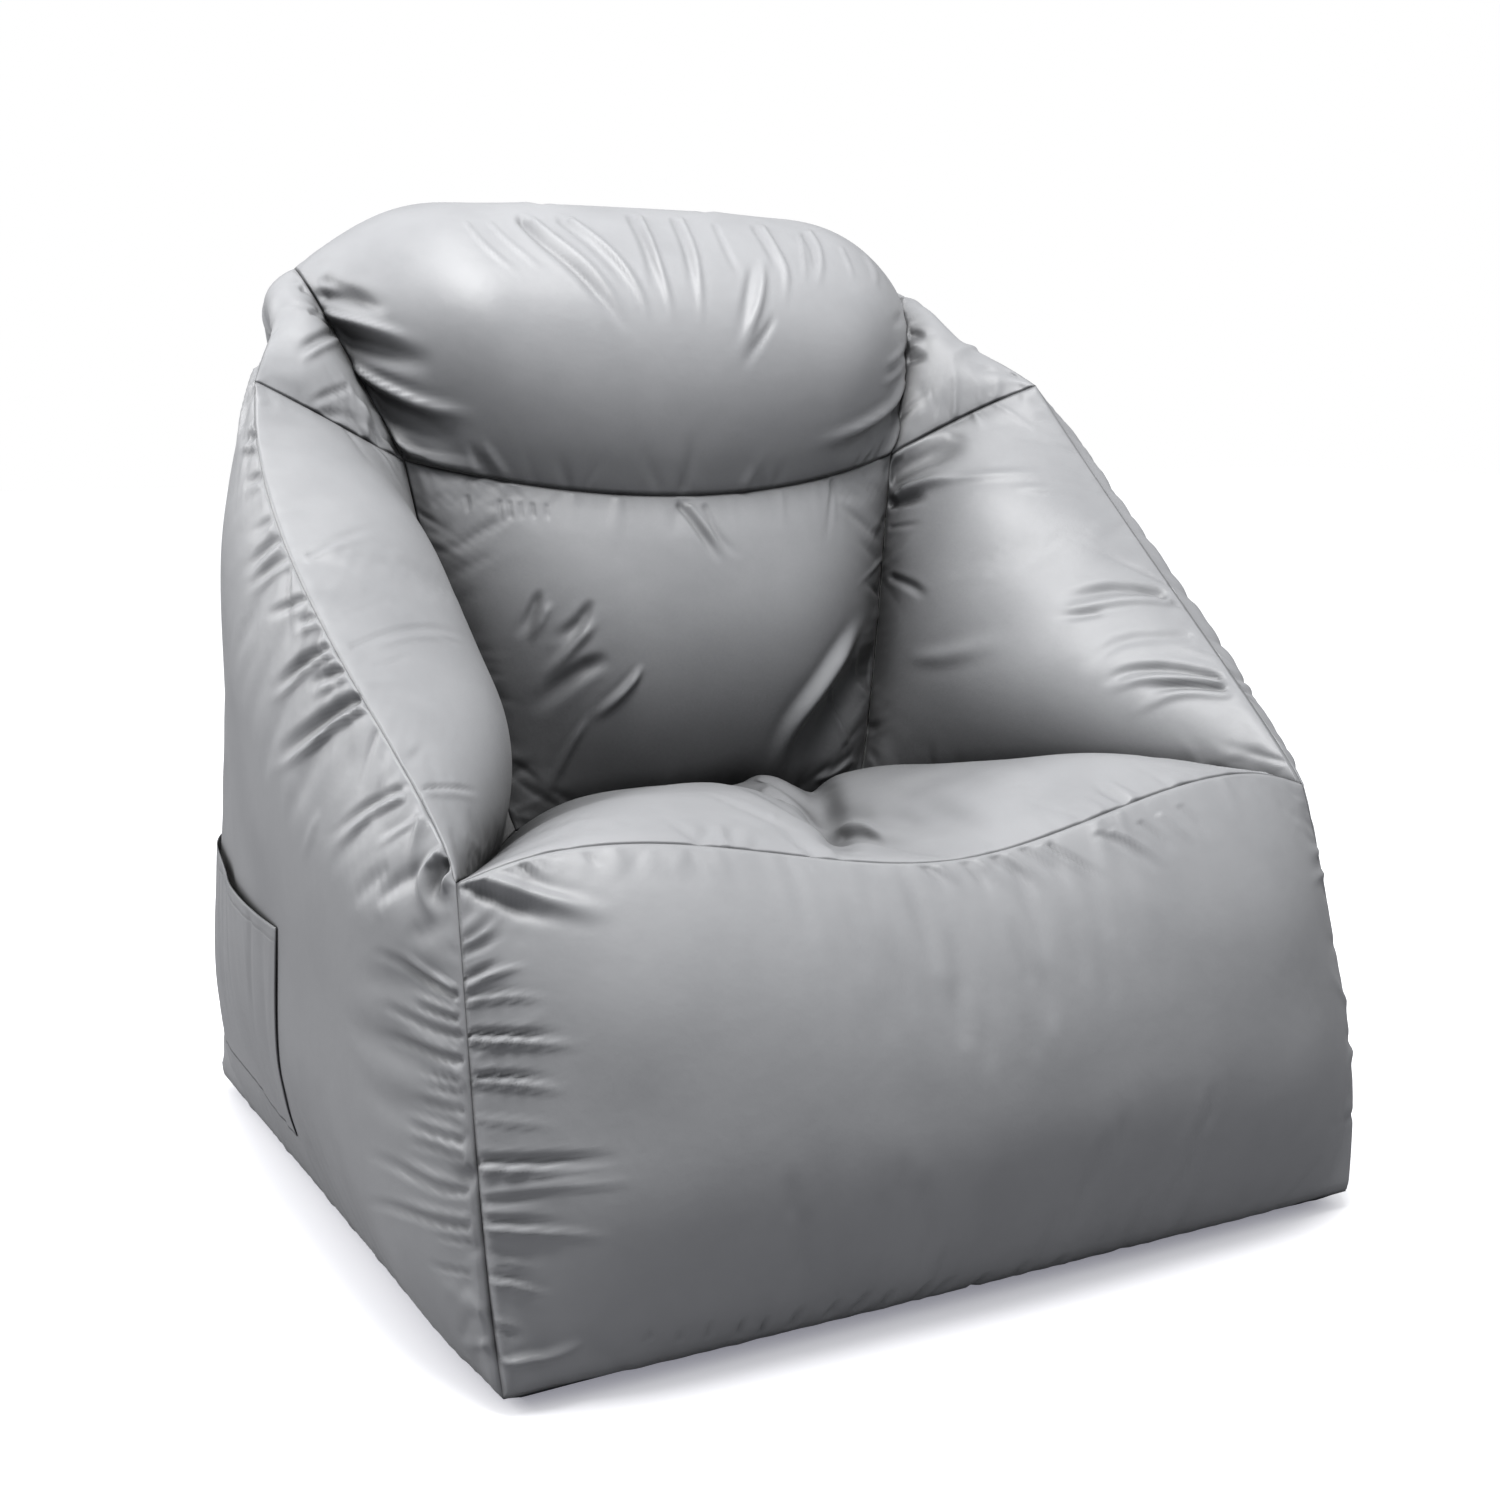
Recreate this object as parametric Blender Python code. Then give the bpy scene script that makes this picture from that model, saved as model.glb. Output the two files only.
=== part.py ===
"""Inflatable lounge chair: one air bladder with welded tie webs inside a sewn and zipped fabric cover.

Metres, +Z up, the front towards -Y, the origin on the floor under the middle of the chair.
"""

import math

import bmesh
import bpy
import numpy as np
from mathutils.bvhtree import BVHTree

# Cover outline at its seams. A setback is measured from the front edge of the base.
base_width = 0.850
base_depth = 0.830
base_seam_height = 0.014
knee_width = 0.846
knee_setback = 0.082
knee_height = 0.392
seat_notch_setback = 0.045
seat_notch_height = 0.372
shoulder_width = 0.876
shoulder_setback = 0.540
shoulder_height = 0.765
crease_width = 0.562
crease_setback = 0.592
crease_height = 0.690
crease_middle_setback = 0.535
crease_middle_height = 0.652
hip_width = 0.400
hip_setback = 0.520
hip_height = 0.325
head_top_width = 0.696
head_top_setback = 0.700
head_top_height = 0.872
head_rear_width = 0.560
head_rear_height = 0.790
head_rear_middle_height = 0.825
shoulder_ridge_width = 0.752
shoulder_ridge_setback = 0.690
shoulder_ridge_height = 0.812
shoulder_rear_width = 0.700
shoulder_rear_height = 0.735

# How far each panel swells past its seams, and how wide the rounding along its edges is
front_crown = 0.052
front_rounding = 0.150
seat_crown = 0.036
seat_rounding = 0.130
seat_valley_width = 0.070
backrest_crown = 0.045
backrest_rounding = 0.170
headrest_crown = 0.062
headrest_overhang = 0.030
headrest_rounding = 0.130
arm_crown = 0.060
arm_rounding = 0.170
shoulder_crown = 0.040
shoulder_rounding = 0.100
side_crown = 0.030
side_rounding = 0.140
rear_crown = 0.030
rear_rounding = 0.120

# Cover cloth and bladder film
cover_thickness = 0.0010
seam_gap = 0.00045
corner_gap = 0.0009
base_rim = 0.030
bladder_inset = 0.018
bladder_wall = 0.001
floor_gap = 0.0003
web_thickness = 0.001
web_clearance = 0.0005
least_gap = 0.0003
cut_overrun = 0.010

# Patch pocket on the left side
pocket_foot_height = 0.085
pocket_mouth_height = 0.300
pocket_gap = 0.017
pocket_hem_gap = 0.0012
pocket_thickness = 0.0012

# Zip across the lower back
zip_height = 0.240
zip_half_length = 0.285
slit_overrun = 0.015
slit_half_height = 0.008
tape_thickness = 0.0008
tape_width = 0.020
chain_thickness = 0.0026
chain_half_height = 0.0026
chain_split = 0.0010
blade_thickness = 0.0004
slider_length = 0.013
slider_half_height = 0.0056
slider_plate = 0.0012
slider_flange = 0.0008
slider_clearance = 0.00035
bail_half_span = 0.0040
bail_width = 0.0030
bail_leg = 0.0010
bail_height = 0.0036
pull_bar = 0.0012
pull_bar_rise = 0.0013
pull_length = 0.028
pull_width = 0.0085
pull_eye_length = 0.0068
pull_eye_width = 0.0044
stop_length = 0.004
stop_height = 0.0075
stop_thickness = 0.0032

# Screw-in air valve on the back, its axis along Y
valve_side = 0.200
valve_height = 0.360
port_radius = 0.027
ring_inner_radius = 0.0285
ring_outer_radius = 0.040
ring_thickness = 0.0016
barrel_radius = 0.022
barrel_bore_radius = 0.018
barrel_depth = 0.030
base_flange_radius = 0.044
base_flange_thickness = 0.0012
base_flange_gap = 0.0008
lip_radius = 0.0245
lip_thickness = 0.0010
insert_radius = 0.0175
insert_bore_radius = 0.013
insert_depth = 0.020
insert_head_radius = 0.0215
insert_head_thickness = 0.0016
spider_thickness = 0.0020
spider_arm_width = 0.0066
spider_core_share = 0.5
stem_radius = 0.0019
stem_clearance = 0.0004
membrane_radius = 0.0150
membrane_thickness = 0.0010
bulb_radius = 0.0030
bulb_length = 0.0025
strap_ring_outer_radius = 0.0275
strap_thickness = 0.0014
strap_width = 0.0120
cap_radius = 0.0240
cap_thickness = 0.0022
cap_chamfer = 0.0007
cap_plug_radius = 0.0122
cap_plug_wall = 0.0020
cap_plug_depth = 0.0045
cap_hinge_reach = 0.0345
cap_hinge_block = 0.0040
cap_tab_reach = 0.0310
cap_tab_width = 0.0120

# Finishes, as linear colours
cloth_colour = (0.42, 0.43, 0.45)
cloth_roughness = 0.45
base_colour = (0.16, 0.165, 0.175)
base_roughness = 0.7
film_colour = (0.70, 0.72, 0.74)
film_roughness = 0.35
plastic_colour = (0.10, 0.105, 0.115)
plastic_roughness = 0.4
valve_colour = (0.75, 0.76, 0.78)
valve_roughness = 0.3
metal_colour = (0.55, 0.56, 0.58)
metal_roughness = 0.3

# Divisions of the cloth between its seams
half_across = 8
seat_divisions = 8
arm_divisions = 12
head_divisions = 8
lower_rows = 4
upper_rows = 6
row_ease_share = 0.6
round_divisions = 24
least_mitre_share = 0.45
pocket_divisions = 12
pocket_columns = (2, 11)
weld_distance = 1e-6
key_offset_share = 0.237
sharp_angle = math.radians(40)

TO_LEFT = np.array([-1.0, 1.0, 1.0])
OUT_BACK = np.array([0.0, 1.0, 0.0])


def place(width, setback, height):
    """A point of the right half, from a full width, a distance behind the front edge and a height."""
    return np.array([width / 2, setback - base_depth / 2, height])


def eased(count):
    """Shares from 0 to 1, closer together near both ends."""
    even = np.linspace(0, 1, count + 1)
    return even + row_ease_share * ((1 - np.cos(math.pi * even)) / 2 - even)


def bowed_seam(start, end, bow_shares, stations):
    """A cubic curve whose two handles leave the chord by the given shares of its length."""
    chord = end - start
    reach = np.linalg.norm(chord)
    near = start + chord / 3 + reach * np.array(bow_shares[0])
    far = start + chord * 2 / 3 + reach * np.array(bow_shares[1])
    t = stations[:, None]
    return (1 - t) ** 3 * start + 3 * (1 - t) ** 2 * t * near + 3 * (1 - t) * t**2 * far + t**3 * end


def arched_seam(start, through, end, stations):
    """A quadratic curve that passes the middle point half way."""
    handle = 2 * through - (start + end) / 2
    t = stations[:, None]
    return (1 - t) ** 2 * start + 2 * (1 - t) * t * handle + t**2 * end


def straight_seam(start, end, stations):
    return start + (end - start) * stations[:, None]


def both_halves(right_half):
    """A seam across the chair, left to right, from its right half that runs outwards to the middle."""
    return np.concatenate([right_half * TO_LEFT, right_half[-2::-1]])


def coons(bottom, top, left, right, across, up):
    """The smooth grid between four seams; across and up are the shares that blend them."""
    u = across[None, :, None]
    v = up[:, None, None] if up.ndim == 1 else up[:, :, None]
    ruled = (1 - v) * bottom[None] + v * top[None] + (1 - u) * left[:, None] + u * right[:, None]
    corners = (1 - v) * ((1 - u) * bottom[0] + u * bottom[-1]) + v * ((1 - u) * top[0] + u * top[-1])
    return ruled - corners


def grid_normals(grid):
    du = np.gradient(grid, axis=1)
    dv = np.gradient(grid, axis=0)
    normals = np.cross(du, dv)
    return normals / np.linalg.norm(normals, axis=2, keepdims=True)


def rounded_rise(distance, rounding):
    """From 0 at a seam to 1 past the rounding, like the side of a pillow."""
    return np.sin(math.pi / 2 * np.clip(distance / rounding, 0, 1))


def swell(grid, across, up, crown, roundings, direction=None, size=None):
    """Moves a grid outwards by its crown, falling to nothing at each seam: left, right, bottom, top."""
    wide, tall = size or (
        np.linalg.norm(np.diff(grid, axis=1), axis=2).sum(axis=1).mean(),
        np.linalg.norm(np.diff(grid, axis=0), axis=2).sum(axis=0).mean(),
    )
    u = np.broadcast_to(across[None, :], grid.shape[:2])
    v = np.broadcast_to(up[:, None] if up.ndim == 1 else up, grid.shape[:2])
    rise = crown * rounded_rise(u * wide, roundings[0]) * rounded_rise((1 - u) * wide, roundings[1])
    rise = rise * rounded_rise(v * tall, roundings[2]) * rounded_rise((1 - v) * tall, roundings[3])
    outward = grid_normals(grid) if direction is None else direction
    return grid + rise[:, :, None] * outward


def mirrored_grid(grid):
    return grid[:, ::-1] * TO_LEFT


def key(point):
    """A name for a place, the same for points that differ by a rounding error."""
    return tuple(np.round(point / weld_distance + key_offset_share).astype(int))


# Corners of the right half
front_foot = place(base_width, 0, base_seam_height)
rear_foot = place(base_width, base_depth, base_seam_height)
knee = place(knee_width, knee_setback, knee_height)
seat_notch = place(0, seat_notch_setback, seat_notch_height)
shoulder = place(shoulder_width, shoulder_setback, shoulder_height)
crease = place(crease_width, crease_setback, crease_height)
crease_middle = place(0, crease_middle_setback, crease_middle_height)
hip = place(hip_width, hip_setback, hip_height)
head_top = place(head_top_width, head_top_setback, head_top_height)
head_rear = place(head_rear_width, base_depth, head_rear_height)
head_rear_middle = place(0, base_depth, head_rear_middle_height)
shoulder_ridge = place(shoulder_ridge_width, shoulder_ridge_setback, shoulder_ridge_height)
shoulder_rear = place(shoulder_rear_width, base_depth, shoulder_rear_height)

# Stations along the seams
across_full = np.linspace(0, 1, 2 * half_across + 1)
across_half = np.linspace(0, 1, half_across + 1)
seat_steps = np.linspace(0, 1, seat_divisions + 1)
arm_steps = np.linspace(0, 1, arm_divisions + 1)
head_steps = np.linspace(0, 1, head_divisions + 1)
front_steps = eased(lower_rows + upper_rows)
zip_share_at_side = (zip_height - base_seam_height) / (shoulder_rear_height - base_seam_height)
lower_steps = np.linspace(0, 1, lower_rows + 1)
upper_steps = np.linspace(0, 1, upper_rows + 1)
rear_steps = np.concatenate(
    [lower_steps * zip_share_at_side, zip_share_at_side + upper_steps[1:] * (1 - zip_share_at_side)]
)
shoulder_share = shoulder_setback / base_depth
side_steps = np.concatenate(
    [arm_steps * shoulder_share, shoulder_share + head_steps[1:] * (1 - shoulder_share)]
)
rear_across = np.linspace(0, 1, 2 * (seat_divisions + half_across) + 1)

# Seams of the right half. A bow is sideways, backwards and upwards.
knee_bow_shares = ((0.0, -0.02, 0.15), (0.0, -0.02, -0.02))
arm_bow_shares = ((-0.02, -0.16, -0.09), (0.09, 0.07, -0.06))
seat_side_bow_shares = ((-0.02, 0.0, -0.02), (0.02, 0.0, -0.02))
arm_back_bow_shares = ((0.03, 0.02, 0.0), (0.02, 0.03, 0.0))
crease_bow_shares = ((0.0, 0.05, 0.0), (0.0, 0.05, 0.02))
front_edge_bow_shares = ((0.03, -0.03, 0.0), (0.02, -0.05, 0.0))

base_front = straight_seam(front_foot * TO_LEFT, front_foot, across_full)
base_side = straight_seam(front_foot, rear_foot, side_steps)
base_rear = straight_seam(rear_foot, rear_foot * TO_LEFT, rear_across)
front_edge = bowed_seam(front_foot, knee, front_edge_bow_shares, front_steps)
knee_seam = both_halves(bowed_seam(knee, seat_notch, knee_bow_shares, across_half))
seat_side = bowed_seam(knee, hip, seat_side_bow_shares, seat_steps)
hip_seam = straight_seam(hip * TO_LEFT, hip, across_full)
arm_back = bowed_seam(hip, crease, arm_back_bow_shares, arm_steps)
arm_seam = bowed_seam(knee, shoulder, arm_bow_shares, arm_steps)
shoulder_crease = bowed_seam(crease, shoulder, crease_bow_shares, seat_steps)
head_crease = arched_seam(crease * TO_LEFT, crease_middle, crease, across_full)
head_side = arched_seam(crease, head_top, head_rear, head_steps)
head_rear_seam = arched_seam(head_rear * TO_LEFT, head_rear_middle, head_rear, across_full)
shoulder_outer = arched_seam(shoulder, shoulder_ridge, shoulder_rear, head_steps)
shoulder_rear_seam = straight_seam(head_rear, shoulder_rear, seat_steps)
rear_edge = straight_seam(rear_foot, shoulder_rear, rear_steps)
side_top = np.concatenate([arm_seam, shoulder_outer[1:]])
rear_top = np.concatenate(
    [shoulder_rear_seam[::-1], head_rear_seam[-2::-1], shoulder_rear_seam[1:] * TO_LEFT]
)


def front_panel_grid():
    grid = coons(base_front, knee_seam, front_edge * TO_LEFT, front_edge, across_full, front_steps)
    edge = front_rounding
    return swell(grid, across_full, front_steps, front_crown, (edge, edge, edge, edge))


def seat_panel_grid():
    """Two lobes with a valley between them, where the centre web pulls the seat down."""
    grid = coons(knee_seam, hip_seam, seat_side * TO_LEFT, seat_side, across_full, seat_steps)
    lobes = 1 - np.exp(-((grid[:, :, :1] / seat_valley_width) ** 2))
    rise = swell(grid, across_full, seat_steps, seat_crown, (seat_rounding,) * 4) - grid
    return grid + rise * lobes


def backrest_panel_grid():
    grid = coons(hip_seam, head_crease, arm_back * TO_LEFT, arm_back, across_full, arm_steps)
    return swell(grid, across_full, arm_steps, backrest_crown, (backrest_rounding,) * 4)


def headrest_panel_grid():
    """A pillow that hangs forward over the crease below it."""
    flat = coons(head_crease, head_rear_seam, head_side * TO_LEFT, head_side, across_full, head_steps)
    pillow = swell(flat, across_full, head_steps, headrest_crown, (headrest_rounding,) * 4)
    swollen_share = np.linalg.norm(pillow - flat, axis=2, keepdims=True) / headrest_crown
    hang = headrest_overhang * swollen_share * (1 - head_steps)[:, None, None]
    return pillow - hang * OUT_BACK


def arm_panel_grid():
    grid = coons(seat_side[::-1], shoulder_crease, arm_back, arm_seam, seat_steps, arm_steps)
    return swell(grid, seat_steps, arm_steps, arm_crown, (arm_rounding,) * 4)


def shoulder_panel_grid():
    grid = coons(shoulder_crease, shoulder_rear_seam, head_side, shoulder_outer, seat_steps, head_steps)
    return swell(grid, seat_steps, head_steps, shoulder_crown, (shoulder_rounding,) * 4)


def side_panel_grid():
    up = (front_steps + rear_steps) / 2
    grid = coons(base_side, side_top, front_edge, rear_edge, side_steps, up)
    return swell(grid, side_steps, up, side_crown, (side_rounding,) * 4)


def rear_panel_grid(low_line, high_line, steps):
    """Part of the upright back between two lines, each given as a share of the height at every column."""
    up = low_line + (high_line - low_line) * steps[:, None]
    grid = base_rear + (rear_top - base_rear) * up[:, :, None]
    size = (base_width, rear_rise.mean())
    return swell(grid, rear_across, up, rear_crown, (rear_rounding,) * 4, OUT_BACK, size)


rear_rise = rear_top[:, 2] - base_seam_height
foot_line = np.zeros_like(rear_rise)
top_line = np.ones_like(rear_rise)
zip_line = (zip_height - base_seam_height) / rear_rise
column_side = base_rear[:, 0] + (rear_top[:, 0] - base_rear[:, 0]) * zip_line
slit_line = np.where(abs(column_side) < zip_half_length + slit_overrun, slit_half_height / rear_rise, 0.0)
rear_lower_whole = rear_panel_grid(foot_line, zip_line, lower_steps)
rear_upper_whole = rear_panel_grid(zip_line, top_line, upper_steps)

arm_grid = arm_panel_grid()
shoulder_grid = shoulder_panel_grid()
side_grid = side_panel_grid()
cover_grids = {
    "front_panel": front_panel_grid(),
    "seat_panel": seat_panel_grid(),
    "backrest_panel": backrest_panel_grid(),
    "headrest_panel": headrest_panel_grid(),
    "right_inner_arm_panel": arm_grid,
    "left_inner_arm_panel": mirrored_grid(arm_grid),
    "right_shoulder_panel": shoulder_grid,
    "left_shoulder_panel": mirrored_grid(shoulder_grid),
    "right_side_panel": side_grid,
    "left_side_panel": mirrored_grid(side_grid),
    "rear_lower_panel": rear_panel_grid(foot_line, zip_line - slit_line, lower_steps),
    "rear_upper_panel": rear_panel_grid(zip_line + slit_line, top_line, upper_steps),
}
base_loop = np.concatenate(
    [base_front[:-1], base_side[:-1], base_rear[:-1], (base_side * TO_LEFT)[:0:-1]]
)


def quad_faces(shape):
    """Corner numbers of a grid's quads, anticlockwise from outside."""
    rows, columns = shape[:2]
    corner = np.arange(rows * columns).reshape(rows, columns)
    quads = np.stack([corner[:-1, :-1], corner[:-1, 1:], corner[1:, 1:], corner[1:, :-1]], axis=-1)
    return quads.reshape(-1, 4)


def cut_in_two(points, quad):
    """A quad as two triangles, along its shorter diagonal."""
    a, b, c, d = quad
    if np.linalg.norm(points[a] - points[c]) <= np.linalg.norm(points[b] - points[d]):
        return [(a, b, c), (a, c, d)]
    return [(a, b, d), (b, c, d)]


def cut_quads(points, quads):
    return [triangle for quad in quads for triangle in cut_in_two(points, quad)]


def mitre(normals):
    """The direction shared by these face normals, long enough to move each face by one."""
    unit = normals / np.linalg.norm(normals, axis=1, keepdims=True)
    middle = unit.sum(axis=0)
    middle = middle / np.linalg.norm(middle)
    return middle / max((unit @ middle).min(), least_mitre_share)


def mitres(points, triangles):
    """One mitred outward direction for each point."""
    normals = [[] for _ in points]
    for a, b, c in triangles:
        normal = np.cross(points[b] - points[a], points[c] - points[a])
        for corner in (a, b, c):
            normals[corner].append(normal)
    return np.array([mitre(np.array(found)) for found in normals])


def welded(grids):
    """Grids joined at equal places: the points, the quads and the number of each place."""
    numbers = {}
    points = []
    quads = []
    for grid in grids:
        flat = grid.reshape(-1, 3)
        here = []
        for point in flat:
            name = key(point)
            if name not in numbers:
                numbers[name] = len(points)
                points.append(point)
            here.append(numbers[name])
        quads += [tuple(here[corner] for corner in quad) for quad in quad_faces(grid.shape)]
    return np.array(points), quads, numbers


def ring_of(count):
    """The border of a rows by columns grid of numbers, anticlockwise from outside."""
    return np.concatenate([count[0, :-1], count[:-1, -1], count[-1, :0:-1], count[:0:-1, 0]])


def hem_steps(grid):
    """The small step at each border point of a grid that keeps it clear of the next panel."""
    towards = np.pad(grid[1:-1, 1:-1], ((1, 1), (1, 1), (0, 0)), mode="edge") - grid
    reach = np.linalg.norm(towards, axis=2, keepdims=True)
    step = seam_gap * np.divide(towards, reach, out=np.zeros_like(grid), where=reach > 0)
    step[:: len(grid) - 1, :: grid.shape[1] - 1] *= corner_gap / seam_gap
    return step


materials = {}


def material(name, colour, roughness, metallic=0.0):
    if name not in materials:
        made = bpy.data.materials.new(name)
        made.use_nodes = True
        shader = made.node_tree.nodes["Principled BSDF"]
        shader.inputs["Base Color"].default_value = (*colour, 1.0)
        shader.inputs["Roughness"].default_value = roughness
        shader.inputs["Metallic"].default_value = metallic
        materials[name] = made
    return materials[name]


def cloth_material(name):
    return material(name, cloth_colour, cloth_roughness)


def add_object(name, mesh, finish, origin=(0.0, 0.0, 0.0)):
    obj = bpy.data.objects.new(name, mesh)
    obj.data.materials.append(finish)
    obj.location = origin
    bpy.context.scene.collection.objects.link(obj)
    return obj


def mesh_from(name, points, faces):
    mesh = bpy.data.meshes.new(name)
    corners = [tuple(int(n) for n in face) for face in faces]
    mesh.from_pydata([tuple(point) for point in points], [], corners)
    mesh.update()
    return mesh


def thin_solid(name, outer, inner, triangles, border):
    """A closed sheet between two like sets of points, with a wall along its border."""
    count = len(outer)
    faces = list(triangles) + [(a + count, c + count, b + count) for a, b, c in triangles]
    for n, here in enumerate(border):
        last = border[n - 1]
        faces += [(last, last + count, here + count), (last, here + count, here)]
    return mesh_from(name, np.concatenate([outer, inner]), faces)


def clear_scene():
    for obj in list(bpy.data.objects):
        bpy.data.objects.remove(obj)


def make_cover(slants):
    """Every panel is a sheet of cloth that shares its seams, and the slant of its edges, with the next."""
    for name, grid in cover_grids.items():
        points = grid.reshape(-1, 3)
        step = hem_steps(grid).reshape(-1, 3)
        depth = np.array([slants[key(point)] for point in points]) * cover_thickness
        triangles = cut_quads(points, quad_faces(grid.shape))
        border = ring_of(np.arange(len(points)).reshape(grid.shape[:2]))
        sheet = thin_solid(name, points + step, points + step - depth, triangles, border)
        add_object(name, sheet, cloth_material(name))


def floor_sheet(loop, height, rim):
    """A rim that steps in from a loop to the floor, and a fan to its middle: the points and triangles."""
    centre = np.array([0.0, 0.0, height])
    flat = loop * np.array([1.0, 1.0, 0.0]) + centre
    reach = np.linalg.norm(flat - centre, axis=1, keepdims=True)
    inner = flat + (centre - flat) * rim / reach
    count = len(loop)
    points = np.concatenate([loop, inner, centre[None]])
    triangles = []
    for n in range(count):
        after = (n + 1) % count
        triangles += [(after, n, n + count), (after, n + count, after + count)]
        triangles.append((after + count, n + count, 2 * count))
    return points, triangles


def make_base_panel(slants):
    """The sewn-in base, flat on the floor but for its rim."""
    points, triangles = floor_sheet(base_loop, 0.0, base_rim)
    count = len(base_loop)
    depth = np.zeros_like(points)
    depth[:count] = [slants[key(point)] * cover_thickness for point in base_loop]
    depth[count:, 2] = -cover_thickness
    step = np.zeros_like(points)
    towards = points[count : 2 * count] - points[:count]
    step[:count] = towards / np.linalg.norm(towards, axis=1, keepdims=True) * seam_gap
    outer = points + step
    sheet = thin_solid("base_panel", outer, outer - depth, triangles, np.arange(count)[::-1])
    add_object("base_panel", sheet, material("base_panel", base_colour, base_roughness))


def bladder_shell():
    """The bladder's outer and inner points, its triangles, and where each place on the cover went."""
    rear_lower = rear_lower_whole[::2, ::2]
    rear_upper = rear_upper_whole[::2, ::2]
    grids = [grid[::2, ::2] for name, grid in cover_grids.items() if not name.startswith("rear")]
    points, quads, numbers = welded(grids + [rear_lower, rear_upper])
    triangles = cut_quads(points, quads)
    loop = [numbers[key(point)] for point in base_loop[::2]]
    lower, fan = floor_sheet(points[loop], 0.0, base_rim)
    first = len(points)
    points = np.concatenate([points, lower[len(loop) :]])
    renumbered = np.concatenate([loop, np.arange(first, len(points))])
    triangles += [tuple(int(renumbered[corner]) for corner in triangle) for triangle in fan]
    outer = points - mitres(points, triangles) * bladder_inset
    outer[first:, 2] = cover_thickness + floor_gap
    inner = outer - mitres(outer, triangles) * bladder_wall
    return outer, inner, triangles, numbers


def make_bladder(outer, inner, triangles):
    count = len(outer)
    faces = list(triangles) + [(a + count, c + count, b + count) for a, b, c in triangles]
    shell = mesh_from("air_bladder", np.concatenate([outer, inner]), faces)
    bladder = add_object("air_bladder", shell, material("air_bladder", film_colour, film_roughness))
    cut_round_hole(bladder, barrel_radius + 2 * least_gap)
    return bladder


def cut_round_hole(obj, radius):
    """A hole along the valve's axis."""
    bpy.ops.mesh.primitive_cylinder_add(
        vertices=round_divisions,
        radius=radius,
        depth=2 * (bladder_inset + bladder_wall + cut_overrun),
        location=(valve_side, rear_face, valve_height),
        rotation=(math.pi / 2, 0, 0),
    )
    cutter = bpy.context.object
    cutter.name = obj.name + "_hole_cutter"
    cutter.hide_render = True
    cutter.display_type = "WIRE"
    cut = obj.modifiers.new("valve hole", "BOOLEAN")
    cut.operation = "DIFFERENCE"
    cut.object = cutter
    return cutter


def make_web(name, top, bottom, sideways):
    """A flat film tie between two rows of places, set clear of the bladder that it is welded to."""
    points = np.concatenate([bottom, top])
    columns = len(top)
    quads = quad_faces((2, columns))
    triangles = cut_quads(points, quads)
    border = ring_of(np.arange(2 * columns).reshape(2, columns))
    shift = np.asarray(sideways) * web_thickness / 2
    sheet = thin_solid(name, points + shift, points - shift, triangles, border)
    add_object(name, sheet, material(name, film_colour, film_roughness))


def make_webs(inner, triangles, numbers):
    """Welded ties: they hold the seat's valley and its three walls, and the crease under the headrest."""

    def lining(seam):
        return np.array([inner[numbers[key(point)]] for point in seam[::2]])

    lift = np.array([0.0, 0.0, web_clearance])
    on_floor = np.array([1.0, 1.0, 0.0])
    floor_lift = lift + np.array([0.0, 0.0, inner[:, 2].min()])
    across = np.array([1.0, 0.0, 0.0])
    arm_top = lining(seat_side)[1:-1] - lift
    arm_foot = arm_top * on_floor + floor_lift
    make_web("right_arm_web", arm_top, arm_foot, across)
    make_web("left_arm_web", (arm_top * TO_LEFT)[::-1], (arm_foot * TO_LEFT)[::-1], -across)
    rear_top_line = lining(hip_seam)[1:-1] - lift
    make_web("seat_rear_web", rear_top_line, rear_top_line * on_floor + floor_lift, -OUT_BACK)
    valley = cover_grids["seat_panel"][:, half_across]
    valley_top = lining(valley)[1:-1] - lift
    make_web("seat_centre_web", valley_top, valley_top * on_floor + floor_lift, across)
    crease_line = lining(head_crease)[2:-2] + OUT_BACK * web_clearance
    walls = BVHTree.FromPolygons(inner.tolist(), triangles)
    hits = np.array([walls.ray_cast(point, OUT_BACK)[0] for point in crease_line])
    back_line = hits - OUT_BACK * web_clearance
    make_web("head_tie_web", back_line, crease_line, np.array([0.0, 0.0, 1.0]))


def make_pocket(slants):
    """A patch sewn to the left side along its foot and both ends, open at the top."""
    columns = cover_grids["left_side_panel"][:, pocket_columns[0] : pocket_columns[1] + 1]
    slopes = np.array([slants[key(point)] for point in columns.reshape(-1, 3)]).reshape(columns.shape)
    across = np.linspace(0, 1, columns.shape[1])
    up = np.linspace(0, 1, pocket_divisions + 1)
    heights = pocket_foot_height + (pocket_mouth_height - pocket_foot_height) * up
    patch = np.zeros((len(up), len(across), 3))
    normals = np.zeros(patch.shape)
    for column, axis in np.ndindex(len(across), 3):
        levels = columns[:, column, 2]
        patch[:, column, axis] = np.interp(heights, levels, columns[:, column, axis])
        normals[:, column, axis] = np.interp(heights, levels, slopes[:, column, axis])
    normals /= np.linalg.norm(normals, axis=2, keepdims=True)
    belly = np.sin(math.pi * across)[None, :] * np.sin(math.pi / 2 * up)[:, None]
    gap = pocket_hem_gap + (pocket_gap - pocket_hem_gap) * belly
    inner = (patch + normals * gap[:, :, None]).reshape(-1, 3)
    outer = (patch + normals * (gap[:, :, None] + pocket_thickness)).reshape(-1, 3)
    triangles = cut_quads(patch.reshape(-1, 3), quad_faces(patch.shape))
    border = ring_of(np.arange(len(inner)).reshape(patch.shape[:2]))
    sheet = thin_solid("side_pocket", outer, inner, triangles, border)
    add_object("side_pocket", sheet, cloth_material("side_pocket"))


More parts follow.
